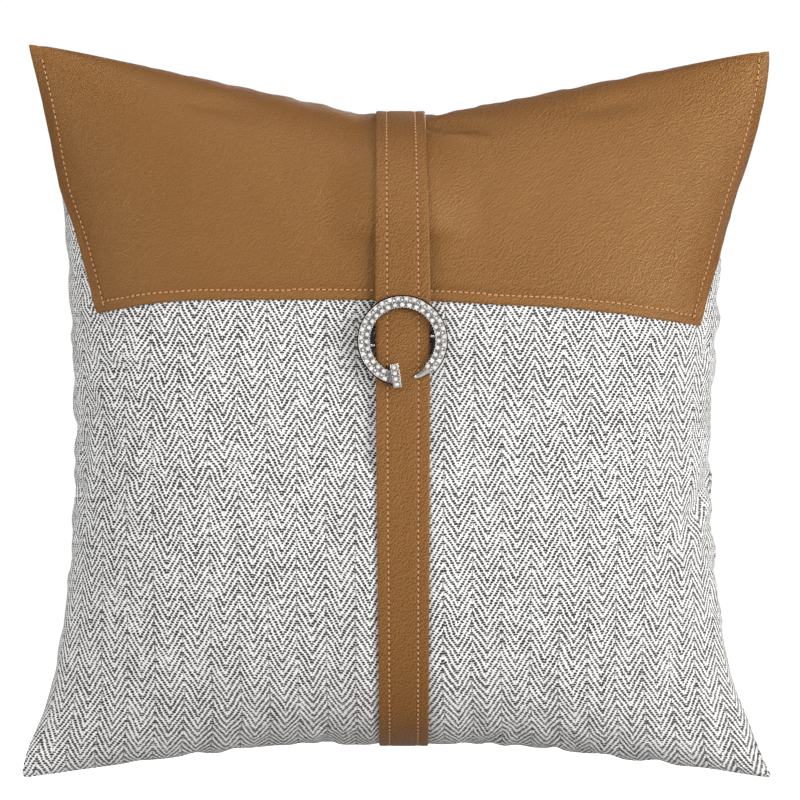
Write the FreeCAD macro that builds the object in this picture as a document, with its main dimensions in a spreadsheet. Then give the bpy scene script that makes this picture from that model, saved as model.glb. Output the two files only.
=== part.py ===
import FreeCAD, Part
import math
import os

import Sketcher
from FreeCAD import Placement, Rotation, Vector

# Throw pillow. A zipped cover with a leather flap, a leather strap and an open ring slider holds a
# separate insert of fibre in a two-sided shell. It stands on its bottom corners with the front
# towards -Y. The origin is under the middle of its bounding box, on the surface it stands on.

SIZES = {
    # outline in the seam plane
    "corner_half_width": 222,
    "waist_half_width": 189,
    "corner_height": 440,
    "dip_height": 399,
    "bottom_lift": 22.5,
    # depth from the seam plane, and where that plane is
    "front_crown": 70,
    "back_crown": 72,
    "rest_flat_depth": 0.6,
    "seam_plane": 4.95,
    # layers of the cushion
    "cover_thick": 1.2,
    "insert_gap": 1.4,
    "insert_thick": 0.9,
    "fill_gap": 0.3,
    "zip_room": 11,
    # flap
    "flap_thick": 1.3,
    "flap_gap": 0.5,
    "flap_edge_middle": 286,
    "flap_edge_corner": 275,
    "flap_corner_half_width": 178.5,
    "flap_margin": 3,
    "stitch_inset": 6,
    "thread_width": 0.8,
    "thread_proud": 0.3,
    # strap
    "strap_width": 32,
    "strap_shift": 3,
    "strap_stand": 3.8,
    "lining_thick": 1.1,
    "face_thick": 1.3,
    "strap_stitch_inset": 6.6,
    "strap_top": 402.3,
    "strap_bottom": 21.6,
    "straight_low": 180,
    "straight_high": 327,
    # ring slider
    "ring_height": 262,
    "ring_inner": 19.2,
    "ring_outer": 27,
    "ring_gap": 0.4,
    "ring_back": 0,
    "ring_depth": 3.8,
    "ring_start_angle": 100,
    "ring_sweep": 308,
    "tip_root_angle": 48,
    "tip_end_angle": 73,
    "tip_end_inner": 22.4,
    "tip_end_outer": 23.6,
    "tip_end_depth": 1.6,
    "stop_bar_half_width": 2.3,
    "stop_bar_half_length": 7.2,
    "stop_bar_depth": 4.4,
    "stop_bar_x": -4.2,
    "stop_bar_z": -21,
    "stop_bar_lean": 9,
    "cheek_inner": 17.2,
    "cheek_outer": 20.6,
    "cheek_half_height": 10.5,
    "frame_back": 1.2,
    "frame_front": 3.4,
    "cross_half_height": 1.3,
    "cross_half_length": 19.5,
    "cross_lean": 7.5,
    "stone_height": 0.9,
    "outer_stone_row": 25.35,
    "outer_stone_radius": 1.45,
    "inner_stone_row": 21.2,
    "inner_stone_radius": 1.4,
    "filler_row": 24.05,
    "filler_radius": 0.85,
    "outer_bead_row": 26.35,
    "inner_bead_row": 19.95,
    "bead_radius": 0.45,
    # zip
    "zip_height": 33,
    "zip_depth": 29.6,
    "zip_angle": 48,
    "tape_half_length": 140,
    "tape_inner": 0.8,
    "tape_outer": 13,
    "tape_thick": 0.8,
    "slot_half_length": 140.5,
    "slot_half_width": 13.5,
    "slot_half_depth": 14,
    "coil_half_length": 131,
    "coil_outer": 3,
    "coil_height": 1.6,
    "stop_start": 131.2,
    "stop_end": 134.2,
    "slider_rest": 124,
    "slider_half_length": 5,
    "slider_half_width": 3.6,
    "slider_plate": 1.1,
    "slider_clearance": 0.3,
    "post_half_width": 0.45,
    "post_half_length": 1.6,
    "lug_inner": 1.5,
    "lug_outer": 2.4,
    "lug_half_length": 1.5,
    "pin_height": 1.9,
    "pin_radius": 0.6,
    "pull_eye_radius": 1.5,
    "pull_hole_radius": 0.9,
    "pull_eye_half_width": 1.2,
    "pull_half_width": 3.2,
    "pull_neck": 3.2,
    "pull_length": 24,
    "pull_thick": 1.4,
    "pull_round": 2.4,
}

ORIGIN = -1  # a sketch's own origin point, as its constraints name it
NEAR = 0.1  # how close to a plane an edge's middle counts as on it

GRID = 17  # rows and columns of control points on a panel
FREE_MIDDLE = 0.09  # share of the top edge that the strap holds level
DIP_POWER = 1.1  # the top edge is almost a V
SIDE_POWER = 2.3  # the sides are pulled in on a soft curve
EAR = 0.72  # how much flatter the corners are

RIM_MARGIN = 0.012  # a flap keeps this share of the panel clear of the seam
FLAP_COLUMNS = 25  # points that the flap and its lower thread follow across the panel
FLAP_ROWS = 11  # points that the flap follows down the panel
FLAP_START = 0.01  # share of the flap left off at the seam
THREAD_START = 0.05  # share of the flap that a side thread leaves off at the seam
THREAD_POINTS = 15  # points that a side thread follows
THREAD_SPAN = 4  # points across a thread
THREAD_GAP = 0.25  # room between a curved row of thread and the leather under it

STRAP_REACH_TOP = 30  # how far the strap runs level over the top edge
STRAP_BEND_TOP = 41  # how soon it turns down the front
STRAP_REACH_BOTTOM = 40
STRAP_BEND_BOTTOM = 34
STRAP_POINTS = 15  # points that a raised layer of the strap follows

STONES_START = 2  # degrees of plain band beside the tip
STONES_END = 10  # degrees of plain band beside the stop bar
STONE_COUNT = 26  # stones in each row round the band
STONE_TABLE = 0.6  # a stone's flat top as a share of its width

doc = FreeCAD.newDocument("ThrowPillow")
sheet = doc.addObject("Spreadsheet::Sheet", "Sizes")
for row, (alias, number) in enumerate(SIZES.items(), start=1):
    sheet.set(f"A{row}", alias)
    sheet.set(f"B{row}", str(number))
    sheet.setAlias(f"B{row}", alias)
doc.recompute()

pieces = []


def size(alias):
    """A driving dimension, read from the sheet."""
    return float(sheet.get(alias))


def value(term):
    """The number of a term such as "tape_outer" or "-tape_outer"."""
    return -size(term[1:]) if term.startswith("-") else size(term)


def bound(term):
    """The expression of such a term."""
    return f"-Sizes.{term[1:]}" if term.startswith("-") else f"Sizes.{term}"


# ---- sketches and bodies ------------------------------------------------------------------


def new_body(label, placement):
    """An empty PartDesign body for one piece."""
    body = doc.addObject("PartDesign::Body", label)
    body.Label = label
    body.Placement = placement
    pieces.append(body)
    return body


def new_sketch(body, name, role, offset=None):
    """A sketch on one of the body's own origin planes, moved by an offset in that plane's axes."""
    sketch = body.newObject("Sketcher::SketchObject", f"{body.Label}_{name}")
    plane = next(f for f in body.Origin.OriginFeatures if f.Role == role)
    sketch.AttachmentSupport = [(plane, "")]
    sketch.MapMode = "FlatFace"
    if offset is not None:
        sketch.AttachmentOffset = offset
    return sketch


def rectangle(sketch, left, right, low, high):
    """Four lines whose sides are bound to sheet terms."""
    x0, x1, y0, y1 = value(left), value(right), value(low), value(high)
    corners = [Vector(x0, y0), Vector(x1, y0), Vector(x1, y1), Vector(x0, y1)]
    first = sketch.GeometryCount
    for start, end in zip(corners, corners[1:] + corners[:1]):
        sketch.addGeometry(Part.LineSegment(start, end), False)
    for i in range(4):
        following = first + (i + 1) % 4
        sketch.addConstraint(Sketcher.Constraint("Coincident", first + i, 2, following, 1))
    for kind, line in (("Horizontal", 0), ("Vertical", 1), ("Horizontal", 2), ("Vertical", 3)):
        sketch.addConstraint(Sketcher.Constraint(kind, first + line))
    sides = (
        ("DistanceX", 0, x0, left),
        ("DistanceX", 1, x1, right),
        ("DistanceY", 0, y0, low),
        ("DistanceY", 2, y1, high),
    )
    for kind, line, number, term in sides:
        place = sketch.addConstraint(
            Sketcher.Constraint(kind, ORIGIN, 1, first + line, 1, number)
        )
        sketch.setExpression(f"Constraints[{place}]", bound(term))


def circle(sketch, radius):
    """A circle about the sketch's origin."""
    sketch.addGeometry(Part.Circle(Vector(), Vector(0, 0, 1), value(radius)), False)
    sketch.addConstraint(Sketcher.Constraint("Coincident", 0, 3, ORIGIN, 1))
    place = sketch.addConstraint(Sketcher.Constraint("Radius", 0, value(radius)))
    sketch.setExpression(f"Constraints[{place}]", bound(radius))


def pad(body, sketch, length):
    """A pad along the sketch's normal."""
    feature = body.newObject("PartDesign::Pad", f"{sketch.Name}_pad")
    feature.Profile = sketch
    feature.setExpression("Length", length)
    doc.recompute()
    return feature


def fillet(body, feature, edges, radius):
    """Rounds the named edges of a feature."""
    rounding = body.newObject("PartDesign::Fillet", f"{feature.Name}_fillet")
    rounding.Base = (feature, edges)
    rounding.setExpression("Radius", radius)
    doc.recompute()
    return rounding


def edges_where(shape, test):
    """The names of the edges whose middle passes the test."""
    return [f"Edge{i}" for i, e in enumerate(shape.Edges, start=1) if test(e.CenterOfMass)]


def add_shape(label, shape):
    """A piece whose shape comes from Part's own functions."""
    feature = doc.addObject("Part::Feature", label)
    feature.Label = label
    feature.Shape = shape
    pieces.append(feature)
    return feature


# ---- cushion surfaces ---------------------------------------------------------------------

def panel_point(u, v, crown, trim, lift):
    """A point of a panel, with u and v from -1 to 1 across and up it."""
    corner = size("corner_half_width")
    waist = size("waist_half_width")
    dip = (max(abs(u) - FREE_MIDDLE, 0) / (1 - FREE_MIDDLE)) ** DIP_POWER
    top = size("dip_height") + (size("corner_height") - size("dip_height")) * dip - trim
    bottom = size("bottom_lift") * (1 - u * u) + trim + lift
    side = (trim + lift) * (1 - v) / 2 + (size("corner_height") - trim) * (1 + v) / 2
    level = 2 * side / size("corner_height") - 1
    x = u * (waist + (corner - waist) * abs(level) ** SIDE_POWER - trim)
    z = bottom * (1 - v) / 2 + top * (1 + v) / 2
    rise = math.sqrt(max(0, (1 - u**4) * (1 - v**4))) * (1 - EAR * u * u * v * v)
    return Vector(x, size("seam_plane") + crown * rise, z)


def panel_surface(crown, trim=0, lift=0):
    """A cubic surface over the panel's control points. Crown is negative on the front."""
    steps = [math.sin(math.pi * (i / (GRID - 1) - 0.5)) for i in range(GRID)]
    poles = [[panel_point(u, v, crown, trim, lift) for v in steps] for u in steps]
    knots = [i / (GRID - 3) for i in range(GRID - 2)]
    counts = [4] + [1] * (GRID - 4) + [4]
    surface = Part.BSplineSurface()
    surface.buildFromPolesMultsKnots(
        poles, counts, counts, knots, knots, False, False, 3, 3
    )
    return surface


def closed_solid(faces):
    """A solid with its faces sewn together and pointing outwards."""
    shell = Part.makeShell(faces)
    shell.sewShape()
    solid = Part.makeSolid(shell)
    if solid.Volume < 0:
        solid.reverse()
    return solid


def dome(surface):
    """The solid between a panel surface and the seam plane."""
    skin = surface.toShape()
    rim = Part.Wire(Part.__sortEdges__(skin.Edges))
    return closed_solid([skin, Part.Face(rim)])


def signed_crowns(trim):
    """The depth of the front and of the back after trimming."""
    return -(size("front_crown") - trim), size("back_crown") - trim


def make_cushion():
    """Cover panels, insert shells and fill, each with a half on either side of the seam plane."""
    cover_trim = size("cover_thick")
    insert_trim = cover_trim + size("insert_gap")
    inside_trim = insert_trim + size("insert_thick")
    fill_trim = inside_trim + size("fill_gap")
    room = size("zip_room")
    layers = {
        "front_panel": (0, 0, cover_trim, 0, 0),
        "back_panel": (1, 0, cover_trim, 0, 0),
        "insert_shell_front": (0, insert_trim, inside_trim, room, room),
        "insert_shell_back": (1, insert_trim, inside_trim, room, room),
    }
    shapes = {}
    for label, (side, outer_trim, inner_trim, outer_lift, inner_lift) in layers.items():
        outer = panel_surface(signed_crowns(outer_trim)[side], outer_trim, outer_lift)
        inner = panel_surface(signed_crowns(inner_trim)[side], inner_trim, inner_lift)
        shapes[label] = dome(outer).cut(dome(inner)).Solids[0]
    front, back = (panel_surface(crown, fill_trim, room) for crown in signed_crowns(fill_trim))
    shapes["fibre_fill"] = closed_solid([front.toShape(), back.toShape()])
    return shapes


# ---- flap ---------------------------------------------------------------------------------


def on_surface(surface, x, z):
    """The parameters of the surface point that is seen at x and z from the front."""
    step = 1e-4
    a = 0.5 + x / (2 * size("corner_half_width"))
    b = z / size("corner_height")
    for _ in range(25):
        here = surface.value(a, b)
        along = (surface.value(a + step, b).x - surface.value(a - step, b).x) / (2 * step)
        up = (surface.value(a, b + step).z - surface.value(a, b - step).z) / (2 * step)
        a = min(1 - RIM_MARGIN, max(RIM_MARGIN, a + (x - here.x) / along))
        b = min(1 - RIM_MARGIN, max(RIM_MARGIN, b + (z - here.z) / up))
    return a, b


def flap_place(surface, across, down):
    """A place on the flap: across from -1 to 1, down from 0 at the seam to 1 at the free edge."""
    corner = size("corner_half_width")
    low_corner = size("flap_corner_half_width")
    rise = size("flap_edge_middle") - size("flap_edge_corner")
    seam = panel_point(across, 1, 0, 0, 0).z
    edge = size("flap_edge_corner") + rise * (1 - across * across)
    z = seam + (edge - seam) * down
    level = 2 * z / size("corner_height") - 1
    waist = size("waist_half_width")
    outline = waist + (corner - waist) * abs(level) ** SIDE_POWER
    side = min(corner + (low_corner - corner) * down, outline - size("flap_margin"))
    return on_surface(surface, across * side, z)


def layer(surface, place, columns, rows, low, high):
    """A thin solid that follows a surface, between two heights above it."""
    facing = 1 if surface.normal(0.5, 0.5).y < 0 else -1
    skins = []
    for height in (low, high):
        grid = []
        for s in columns:
            line = []
            for t in rows:
                a, b = place(s, t)
                line.append(surface.value(a, b) + surface.normal(a, b) * height * facing)
            grid.append(line)
        skin = Part.BSplineSurface()
        skin.interpolate(grid)
        skins.append(skin.toShape())
    inner, outer = skins
    walls = [Part.makeRuledSurface(a, b) for a, b in zip(inner.Edges, outer.Edges)]
    return closed_solid([inner, outer] + walls)


def spread(start, end, count):
    """Evenly spaced values, ends included."""
    return [start + (end - start) * i / (count - 1) for i in range(count)]


def make_flap(surface):
    """The flap over the front panel, and the thread that runs round its three free sides."""
    low = size("flap_gap")
    high = low + size("flap_thick")
    flap = layer(
        surface,
        lambda s, t: flap_place(surface, s, t),
        [math.sin(math.pi / 2 * s) for s in spread(-1, 1, FLAP_COLUMNS)],
        spread(FLAP_START, 1, FLAP_ROWS),
        low,
        high,
    )
    inset = size("stitch_inset")
    down = 1 - inset / (size("dip_height") - size("flap_edge_middle"))
    width = size("thread_width")
    across = 1 - inset / size("flap_corner_half_width")
    thin = width / size("flap_corner_half_width")
    short = width / (size("dip_height") - size("flap_edge_middle"))
    side_rows = spread(THREAD_START, down, THREAD_POINTS)
    runs = (
        (spread(-across, across, FLAP_COLUMNS), spread(down, down + short, THREAD_SPAN)),
        (spread(-across - thin, -across, THREAD_SPAN), side_rows),
        (spread(across, across + thin, THREAD_SPAN), side_rows),
    )
    threads = [
        layer(
            surface,
            lambda s, t: flap_place(surface, s, t),
            columns,
            rows,
            high + THREAD_GAP,
            high + THREAD_GAP + size("thread_proud"),
        )
        for columns, rows in runs
    ]
    return flap, Part.makeCompound(threads)


# ---- strap --------------------------------------------------------------------------------


def strap_line():
    """The strap's inner side, from the top seam to the bottom seam, as two curves and a line."""
    seam = size("seam_plane")
    flat = seam - size("front_crown") - size("strap_stand")
    top = size("strap_top")
    bottom = size("strap_bottom")
    high = size("straight_high")
    low = size("straight_low")
    over = Part.BezierCurve()
    over.setPoles(
        [
            Vector(0, seam, top),
            Vector(0, seam - STRAP_REACH_TOP, top),
            Vector(0, flat, high + STRAP_BEND_TOP),
            Vector(0, flat, high),
        ]
    )
    under = Part.BezierCurve()
    under.setPoles(
        [
            Vector(0, flat, low),
            Vector(0, flat, bottom + STRAP_BEND_BOTTOM),
            Vector(0, seam - STRAP_REACH_BOTTOM, bottom),
            Vector(0, seam, bottom),
        ]
    )
    return over, under


def raised(curve, height):
    """The same curve, moved to the strap's outer side by a height."""
    points = []
    for share in spread(0, 1, STRAP_POINTS):
        along = curve.tangent(share)[0]
        points.append(curve.value(share) + Vector(0, along.z, -along.y) * height)
    lifted = Part.BSplineCurve()
    lifted.interpolate(points)
    return lifted


def strap_layer(low, high, left, right):
    """A layer of the strap between two heights above its inner side and two places across it."""
    lines = []
    for height in (low, high):
        over, under = (raised(curve, height) for curve in strap_line())
        middle = Part.LineSegment(over.value(over.LastParameter), under.value(0))
        lines.append([over.toShape(), middle.toShape(), under.toShape()])
    inner, outer = lines
    ends = [
        Part.makeLine(inner[0].Vertexes[0].Point, outer[0].Vertexes[0].Point),
        Part.makeLine(inner[2].Vertexes[-1].Point, outer[2].Vertexes[-1].Point),
    ]
    outline = Part.Wire(Part.__sortEdges__(inner + outer + ends))
    section = Part.Face(outline)
    section.translate(Vector(left, 0, 0))
    return section.extrude(Vector(right - left, 0, 0))


# ---- ring slider --------------------------------------------------------------------------


def strap_stack():
    """How far the back of the ring stands out from the front panel's crown."""
    return size("strap_stand") + size("lining_thick") + size("face_thick") + size("ring_gap")


def ring_frame_place(depth=0):
    """The ring's own frame: its axis along Y through the strap, Y = 0 on the back of the band."""
    seam = size("seam_plane")
    back = seam - size("front_crown") - strap_stack()
    return Placement(Vector(size("strap_shift"), back - depth, size("ring_height")), Rotation())


def radial(angle):
    """The offset that turns a sketch on the XY plane about the ring's axis."""
    return Placement(Vector(), Rotation(Vector(0, 1, 0), angle))


def make_ring_base():
    """The cast ring: an open band, a tapered tip at one end and a stop bar at the other."""
    body = new_body("ring_base", ring_frame_place())
    section = new_sketch(body, "section", "XY_Plane", radial(size("ring_start_angle")))
    rectangle(section, "ring_inner", "ring_outer", "-ring_depth", "ring_back")
    band = body.newObject("PartDesign::Revolution", "ring_band")
    band.Profile = section
    band.ReferenceAxis = (section, ["V_Axis"])
    band.setExpression("Angle", "Sizes.ring_sweep")
    doc.recompute()
    root = new_sketch(body, "tip_root", "XY_Plane", radial(size("tip_root_angle")))
    rectangle(root, "ring_inner", "ring_outer", "-ring_depth", "ring_back")
    end = new_sketch(body, "tip_end", "XY_Plane", radial(size("tip_end_angle")))
    rectangle(end, "tip_end_inner", "tip_end_outer", "-tip_end_depth", "ring_back")
    tip = body.newObject("PartDesign::AdditiveLoft", "ring_tip")
    tip.Profile = root
    tip.Sections = [end]
    doc.recompute()
    lean = Rotation(Vector(0, 0, 1), size("stop_bar_lean"))
    place = Placement(Vector(size("stop_bar_x"), size("stop_bar_z"), 0), lean)
    bar = new_sketch(body, "stop_bar", "XZ_Plane", place)
    rectangle(
        bar,
        "-stop_bar_half_width",
        "stop_bar_half_width",
        "-stop_bar_half_length",
        "stop_bar_half_length",
    )
    pad(body, bar, "Sizes.stop_bar_depth")
    return body


def make_ring_frame():
    """The plate behind the ring: a leaning bar behind the strap and a cheek at each side of it."""
    body = new_body("ring_frame", ring_frame_place(-strap_stack()))
    lean = Rotation(Vector(0, 0, 1), size("cross_lean"))
    behind = Vector(0, 0, size("frame_back"))
    cross = new_sketch(body, "cross", "XZ_Plane", Placement(behind, lean))
    rectangle(
        cross, "-cross_half_length", "cross_half_length", "-cross_half_height", "cross_half_height"
    )
    pad(body, cross, "Sizes.frame_front - Sizes.frame_back")
    level = Placement(behind, Rotation())
    for side, inner, outer in (
        ("left", "-cheek_outer", "-cheek_inner"),
        ("right", "cheek_inner", "cheek_outer"),
    ):
        cheek = new_sketch(body, f"cheek_{side}", "XZ_Plane", level)
        rectangle(cheek, inner, outer, "-cheek_half_height", "cheek_half_height")
        depth = "Sizes.strap_stand + Sizes.lining_thick + Sizes.face_thick"
        pad(body, cheek, f"{depth} + Sizes.ring_gap - Sizes.frame_back")
    return body


def make_ring_stones():
    """Two staggered rows of tapered stones on the band, with smaller ones in the spaces."""
    base = ring_frame_place(size("ring_depth"))
    height = size("stone_height")
    start = -size("tip_root_angle") + STONES_START
    sweep = size("ring_sweep") - STONES_START - STONES_END
    rows = (
        (size("outer_stone_row"), size("outer_stone_radius"), 0.5),
        (size("inner_stone_row"), size("inner_stone_radius"), 0),
        (size("filler_row"), size("filler_radius"), 0),
        (size("outer_bead_row"), size("bead_radius"), 0),
        (size("inner_bead_row"), size("bead_radius"), 0.5),
    )
    stones = []
    for distance, radius, stagger in rows:
        for i in range(STONE_COUNT):
            angle = math.radians(start + sweep * (i + stagger) / STONE_COUNT)
            place = Vector(distance * math.cos(angle), 0, distance * math.sin(angle))
            stones.append(
                Part.makeCone(radius, radius * STONE_TABLE, height, place, Vector(0, -1, 0))
            )
    compound = Part.makeCompound(stones)
    compound.Placement = base
    return compound


# ---- zip ----------------------------------------------------------------------------------


def zip_place(height=0, along=0):
    """The zip's frame: X along it, Y down the panel to the seam, Z out of the cover."""
    turn = Rotation(Vector(1, 0, 0), -90 - size("zip_angle"))
    middle = Vector(0, size("seam_plane") + size("zip_depth"), size("zip_height"))
    return Placement(middle, turn).multiply(Placement(Vector(along, 0, height), Rotation()))


def make_tape(label, near, far):
    """One tape of the zip, a flat strip beside the chain."""
    body = new_body(label, zip_place())
    outline = new_sketch(body, "outline", "XY_Plane")
    rectangle(outline, "-tape_half_length", "tape_half_length", near, far)
    pad(body, outline, "Sizes.tape_thick")


def make_coil(label, near, far):
    """One half of the chain, sewn on the edge of its tape."""
    body = new_body(label, zip_place(size("tape_thick")))
    outline = new_sketch(body, "outline", "XY_Plane")
    rectangle(outline, "-coil_half_length", "coil_half_length", near, far)
    pad(body, outline, "Sizes.coil_height")


def make_stop(label, left, right):
    """An end stop across both halves of the chain."""
    body = new_body(label, zip_place(size("tape_thick")))
    outline = new_sketch(body, "outline", "XY_Plane")
    rectangle(outline, left, right, "-coil_outer", "coil_outer")
    pad(body, outline, "Sizes.coil_height")


def make_slider():
    """The slider: a plate on each side of the tapes, a post between the coils, and two lugs."""
    body = new_body("zip_slider", zip_place(0, size("slider_rest")))
    gap = size("slider_clearance")
    plate = size("slider_plate")
    over = size("tape_thick") + size("coil_height") + gap
    levels = {"under": -gap - plate, "post": -gap - plate / 2, "over": over}

    def level(name):
        return Placement(Vector(0, 0, levels[name]), Rotation())

    post = new_sketch(body, "post", "XY_Plane", level("post"))
    rectangle(
        post, "-post_half_length", "post_half_length", "-post_half_width", "post_half_width"
    )
    between = "Sizes.tape_thick + Sizes.coil_height + 2 * Sizes.slider_clearance"
    pad(body, post, f"{between} + Sizes.slider_plate")
    for name in ("under", "over"):
        outline = new_sketch(body, name, "XY_Plane", level(name))
        rectangle(
            outline,
            "-slider_half_length",
            "slider_half_length",
            "-slider_half_width",
            "slider_half_width",
        )
        pad(body, outline, "Sizes.slider_plate")
    top = Placement(Vector(0, 0, over + plate), Rotation())
    for side, near, far in (("left", "-lug_outer", "-lug_inner"), ("right", "lug_inner", "lug_outer")):
        lug = new_sketch(body, f"lug_{side}", "XY_Plane", top)
        rectangle(lug, "-lug_half_length", "lug_half_length", near, far)
        pad(body, lug, "Sizes.pin_height + Sizes.pin_radius + Sizes.slider_clearance")
    across = Placement(Vector(0, over + plate + size("pin_height"), -size("lug_outer")), Rotation())
    pin = new_sketch(body, "pin", "XZ_Plane", across)
    circle(pin, "pin_radius")
    pad(body, pin, "2 * Sizes.lug_outer")
    return over + plate + size("pin_height")


def make_pull(pin_level):
    """The pull: an eye on the slider's pin and a flat tab that lies along the zip."""
    body = new_body("zip_pull", zip_place(pin_level, size("slider_rest")))
    middle = Placement(Vector(0, 0, -size("pull_eye_half_width")), Rotation())
    eye = new_sketch(body, "eye", "XZ_Plane", middle)
    circle(eye, "pull_eye_radius")
    pad(body, eye, "2 * Sizes.pull_eye_half_width")
    low = Placement(Vector(0, 0, -size("pull_thick") / 2), Rotation())
    neck = new_sketch(body, "neck", "XY_Plane", low)
    rectangle(neck, "-pull_neck", "-pull_hole_radius", "-pull_eye_half_width", "pull_eye_half_width")
    pad(body, neck, "Sizes.pull_thick")
    tab = new_sketch(body, "tab", "XY_Plane", low)
    rectangle(tab, "-pull_length", "-pull_neck", "-pull_half_width", "pull_half_width")
    flat = pad(body, tab, "Sizes.pull_thick")
    far_end = -size("pull_length") + NEAR
    side = size("pull_half_width") - NEAR
    corners = edges_where(
        flat.Shape,
        lambda p: p.x < far_end and abs(p.y) > side and abs(p.z) < NEAR,
    )
    fillet(body, flat, corners, "Sizes.pull_round")
    hole = new_sketch(body, "hole", "XZ_Plane", middle)
    circle(hole, "pull_hole_radius")
    pocket = body.newObject("PartDesign::Pocket", "zip_pull_bore")
    pocket.Profile = hole
    pocket.Type = "ThroughAll"
    pocket.Midplane = True
    doc.recompute()


# ---- the whole pillow ---------------------------------------------------------------------


def cut_piece(label, blank, *tools):
    """A piece made by cutting document objects out of a blank."""
    base = doc.addObject("Part::Feature", f"{label}_blank")
    base.Shape = blank
    for number, tool in enumerate(tools, start=1):
        cut = doc.addObject("Part::Cut", f"{label}_cut_{number}")
        cut.Base = base
        cut.Tool = tool
        base = cut
    base.Label = label
    pieces.append(base)
    doc.recompute()


def bound_box(name, placement, **sides):
    """A box whose sides are expressions of the sheet."""
    box = doc.addObject("Part::Box", name)
    for side, expression in sides.items():
        box.setExpression(side, expression)
    box.Placement = placement
    return box


def make_back_panel(blank):
    """The back panel with the slot for the zip and the flat that the pillow rests on."""
    half_length = size("slot_half_length")
    half_width = size("slot_half_width")
    half_depth = size("slot_half_depth")
    slot_corner = Placement(Vector(-half_length, -half_width, -half_depth), Rotation())
    slot = bound_box(
        "zip_slot",
        zip_place().multiply(slot_corner),
        Length="2 * Sizes.slot_half_length",
        Width="2 * Sizes.slot_half_width",
        Height="2 * Sizes.slot_half_depth",
    )
    rest_plane = size("seam_plane") + size("back_crown") - size("rest_flat_depth")
    corner = Vector(-size("corner_half_width"), rest_plane, 0)
    crown = bound_box(
        "rest_cut",
        Placement(corner, Rotation()),
        Length="2 * Sizes.corner_half_width",
        Width="Sizes.back_crown",
        Height="Sizes.corner_height",
    )
    cut_piece("back_panel", blank, slot, crown)


def build():
    """Makes every piece, checks it and writes it."""
    cushion = make_cushion()
    make_back_panel(cushion.pop("back_panel"))
    for label, shape in cushion.items():
        add_shape(label, shape)

    front = panel_surface(-size("front_crown"))
    flap, flap_thread = make_flap(front)
    add_shape("leather_flap", flap)
    add_shape("flap_thread", flap_thread)

    left = size("strap_shift") - size("strap_width") / 2
    right = size("strap_shift") + size("strap_width") / 2
    lining = size("lining_thick")
    face = lining + size("face_thick")
    add_shape("strap_lining", strap_layer(0, lining, left, right))
    add_shape("strap_face", strap_layer(lining, face, left, right))
    inset = size("strap_stitch_inset")
    width = size("thread_width")
    proud = face + size("thread_proud")
    add_shape("strap_thread_left", strap_layer(face, proud, left + inset, left + inset + width))
    add_shape("strap_thread_right", strap_layer(face, proud, right - inset - width, right - inset))

    make_ring_base()
    make_ring_frame()
    add_shape("ring_stones", make_ring_stones())

    make_tape("zip_tape_lower", "tape_inner", "tape_outer")
    make_tape("zip_tape_upper", "-tape_outer", "-tape_inner")
    make_coil("zip_coil_lower", "tape_inner", "coil_outer")
    make_coil("zip_coil_upper", "-coil_outer", "-tape_inner")
    make_stop("zip_stop_left", "-stop_end", "-stop_start")
    make_stop("zip_stop_right", "stop_start", "stop_end")
    make_pull(make_slider())

    doc.recompute()
    for item in doc.Objects:
        if "Invalid" in item.State or "Error" in item.State:
            raise RuntimeError(f"{item.Label} failed: {item.State}")
    for piece in pieces:
        if piece.Shape.isNull() or not piece.Shape.isValid():
            raise RuntimeError(f"{piece.Label} has no valid shape")
    os.makedirs("parts", exist_ok=True)
    for piece in pieces:
        piece.Shape.exportStep(f"parts/{piece.Label}.step")
        print(piece.Label, len(piece.Shape.Solids), round(piece.Shape.Volume, 1))


build()
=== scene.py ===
import math

import bpy
import numpy as np
from mathutils import Matrix, Vector


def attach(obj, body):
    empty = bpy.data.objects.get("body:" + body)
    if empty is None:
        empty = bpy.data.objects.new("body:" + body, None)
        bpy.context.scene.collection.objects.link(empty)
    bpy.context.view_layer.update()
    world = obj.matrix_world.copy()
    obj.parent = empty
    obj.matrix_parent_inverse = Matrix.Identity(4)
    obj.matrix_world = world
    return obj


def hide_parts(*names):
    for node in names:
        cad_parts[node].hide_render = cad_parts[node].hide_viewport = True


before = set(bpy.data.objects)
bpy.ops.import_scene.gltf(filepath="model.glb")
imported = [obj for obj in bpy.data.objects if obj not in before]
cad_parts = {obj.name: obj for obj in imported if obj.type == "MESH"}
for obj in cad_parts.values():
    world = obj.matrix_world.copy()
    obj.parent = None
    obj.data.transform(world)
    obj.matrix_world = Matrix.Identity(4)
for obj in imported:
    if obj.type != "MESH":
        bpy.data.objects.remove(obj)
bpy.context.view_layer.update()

# Throw pillow: a herringbone cover over a fibre insert, with a leather flap, a leather strap and
# an open ring slider. Metres, the front towards -Y, standing on its bottom corners.

NET = 91  # threads of the modelling net each way
CLOTH = 0.45  # side of a flat panel before it is stuffed
HALF = CLOTH / 2
SEAM = 0.00495  # y of the seam
FRONT_CROWN = -0.070
BACK_CROWN = 0.0714
STRAP_X = 0.003
STRAP_HALF = 0.016
STRAP_STAND = 0.0038
LINING = 0.0011
FACE = 0.0013
FLAP_THICK = 0.0013
FLAP_LIFT = 0.0005
INSET = 0.006  # stitch rows from an edge
PITCH = 0.0035  # one stitch to the next
RING_Z = 0.262
RING_BACK = -0.07165
RING_DEPTH = 0.0038
RING_INNER = 0.0192
RING_OUTER = 0.027
CLOTH_THICK = 0.0012
STRAP_ROW = 0.0068  # stitch rows from the strap's edges
ZIP_REACH = 0.1385  # half the length of the zip's slit


# ---- mesh helpers ----


def deselect():
    for o in bpy.context.selected_objects:
        o.select_set(False)


def choose(o):
    """Makes one object the only one that an operator acts on."""
    deselect()
    o.select_set(True)
    bpy.context.view_layer.objects.active = o


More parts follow.
